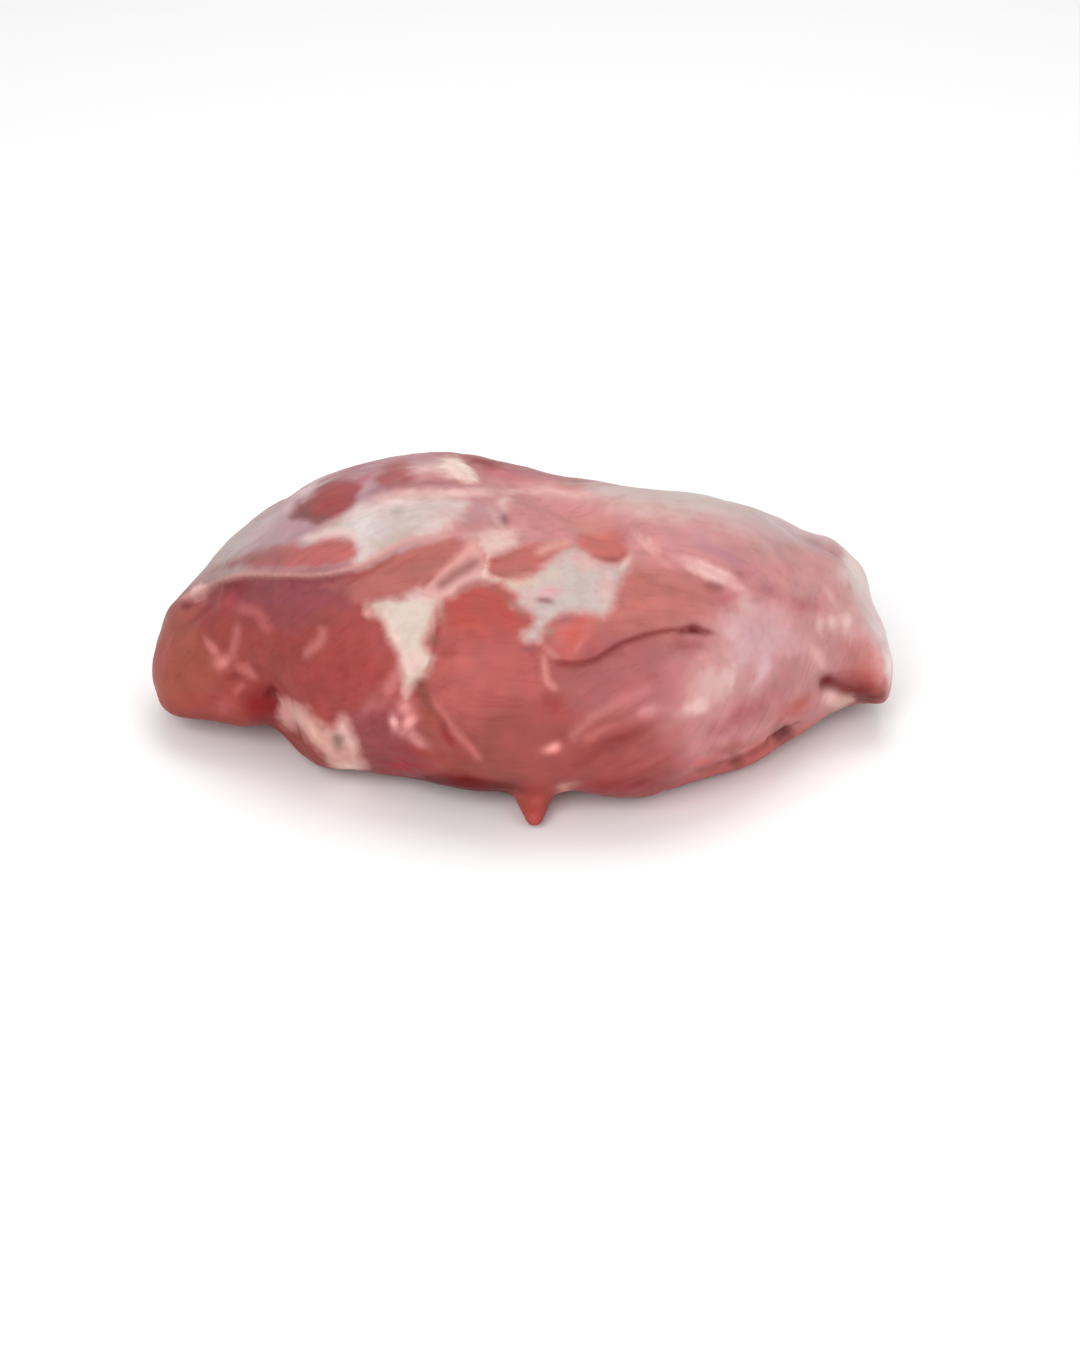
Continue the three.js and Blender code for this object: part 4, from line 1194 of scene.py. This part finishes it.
def with_cover(tree, skin, colour):
    """Fat and thick silverskin over a colour, thin and pink at a ragged edge, and their mask."""
    jagged = maths(tree, "MULTIPLY_ADD", skin.ragged, 2 * RAGGED_EDGE, -RAGGED_EDGE)
    depth = maths(tree, "ADD", stored(tree, "cover_depth"), jagged)
    mask = step(tree, maths(tree, "DIVIDE", depth, stored(tree, "cover_soft")), -1.0, 1.0)
    cover = stored(tree, "cover", "Color")
    streaked = blend(tree, 1.0, cover, DARK_FAT, "MULTIPLY")
    cloudy = maths(tree, "MULTIPLY_ADD", skin.clouds, 0.6, maths(tree, "MULTIPLY", skin.fibres, 0.4))
    cover = blend(tree, step(tree, cloudy, 0.4, 0.58), streaked, cover)
    cover = blend(tree, step(tree, depth, -2.0, 3.0, 0.6, 0.0), cover, (*rgb(RIM), 1))
    return blend(tree, mask, colour, cover), mask


def with_lines(tree, kind, waver, colour):
    """Threads, or dark lines of painted shade, over a colour, and their mask."""
    solid = step(tree, maths(tree, "ADD", stored(tree, kind + "_across"), waver), 2.6, -0.6)
    mask = maths(tree, "MULTIPLY", solid, stored(tree, kind + "_near"))
    return blend(tree, mask, colour, stored(tree, kind + "_colour", "Color")), mask


def meat_material():
    material = bpy.data.materials.new("raw_veal")
    material.use_nodes = True
    tree = material.node_tree
    shader = tree.nodes["Principled BSDF"]
    skin = skin_noises(tree)
    colour = with_film(tree, skin, lean_colour(tree, skin))
    colour, cover_mask = with_cover(tree, skin, colour)
    waver = maths(tree, "MULTIPLY_ADD", skin.ragged, 2 * RAGGED_LINE, -RAGGED_LINE)
    colour, thread_mask = with_lines(tree, "thread", waver, colour)
    # Dark lines of painted shade in grooves, folds and the gash
    colour, _ = with_lines(tree, "cut", maths(tree, "MULTIPLY", waver, 0.4), colour)
    tree.links.new(colour, shader.inputs["Base Color"])

    # Moist gloss
    tree.links.new(step(tree, skin.fibres, 0.35, 0.65, 0.36, 0.52), shader.inputs["Roughness"])
    shader.inputs["Specular IOR Level"].default_value = 0.07
    shader.inputs["Coat Weight"].default_value = 0.02
    shader.inputs["Coat Roughness"].default_value = 0.22
    shader.inputs["Subsurface Weight"].default_value = 0.12
    shader.inputs["Subsurface Radius"].default_value = (1.0, 0.3, 0.2)
    shader.inputs["Subsurface Scale"].default_value = 3 * MM

    # Fibres, raised fat and threads, and fine wrinkles
    height = maths(tree, "MULTIPLY", skin.fibres, FIBRE_HEIGHT)
    for what, rise in ((cover_mask, FAT_HEIGHT), (thread_mask, THREAD_HEIGHT), (skin.micro, WRINKLE_HEIGHT)):
        height = maths(tree, "MULTIPLY_ADD", what, rise, height)
    bump = add(tree, "ShaderNodeBump", {"Height": height, "Strength": BUMP_STRENGTH, "Distance": MM})
    tree.links.new(bump.outputs["Normal"], shader.inputs["Normal"])
    return material


meat = mesh_of(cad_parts["veal_shoulder"])
meat.name = "shoulder_meat"
dress(meat.data)
meat.data.materials.append(meat_material())
meat.data.shade_smooth()
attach(meat, "root")
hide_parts("veal_shoulder")


# The studio, in metres and watts
FLOOR_HALF = 12.0
FLOOR_COLOUR = (0.94, 0.94, 0.94, 1)
FLOOR_ROUGHNESS = 0.8
SKY_STRENGTH = 0.56
Light = namedtuple("Light", "name place size power")
LIGHTS = [
    Light("key", (-0.6, -1.3, 1.1), 1.2, 15.5),
    Light("fill", (1.0, -1.2, 0.8), 1.4, 8),
    Light("top", (0.1, 0.5, 1.6), 1.4, 11.5),
]


def floor():
    material = bpy.data.materials.new("pale_floor")
    material.use_nodes = True
    shader = material.node_tree.nodes["Principled BSDF"]
    shader.inputs["Base Color"].default_value = FLOOR_COLOUR
    shader.inputs["Roughness"].default_value = FLOOR_ROUGHNESS
    corners = [(x * FLOOR_HALF, y * FLOOR_HALF, 0) for x, y in ((-1, -1), (1, -1), (1, 1), (-1, 1))]
    mesh = bpy.data.meshes.new("floor")
    mesh.from_pydata(corners, [], [(0, 1, 2, 3)])
    mesh.materials.append(material)
    piece = bpy.data.objects.new("floor", mesh)
    bpy.context.scene.collection.objects.link(piece)


def area_light(name, place, size, power):
    data = bpy.data.lights.new(name, "AREA")
    data.shape = "DISK"
    data.size = size
    data.energy = power
    light = bpy.data.objects.new(name, data)
    light.location = place
    light.rotation_euler = (Vector(AIM) - Vector(place)).to_track_quat("-Z", "Y").to_euler()
    bpy.context.scene.collection.objects.link(light)


def sky(strength):
    world = bpy.data.worlds.new("studio")
    world.use_nodes = True
    background = world.node_tree.nodes["Background"]
    background.inputs["Color"].default_value = (1, 1, 1, 1)
    background.inputs["Strength"].default_value = strength
    bpy.context.scene.world = world


def camera():
    data = bpy.data.cameras.new("camera")
    data.sensor_fit = "VERTICAL"
    data.sensor_height = SENSOR
    data.lens = PIXELS_PER_MM * EYE_DISTANCE / MM / PHOTO_HEIGHT * SENSOR
    data.shift_x = (PHOTO_WIDTH / 2 - AIM_PIXEL[0]) / PHOTO_HEIGHT
    data.shift_y = (AIM_PIXEL[1] - PHOTO_HEIGHT / 2) / PHOTO_HEIGHT
    eye = bpy.data.objects.new("camera", data)
    eye.location = show.eye
    eye.rotation_euler = Vector(show.forward).to_track_quat("-Z", "Y").to_euler()
    bpy.context.scene.collection.objects.link(eye)
    bpy.context.scene.camera = eye


floor()
sky(SKY_STRENGTH)
for light in LIGHTS:
    area_light(*light)
camera()
bpy.context.scene.view_settings.view_transform = "Standard"
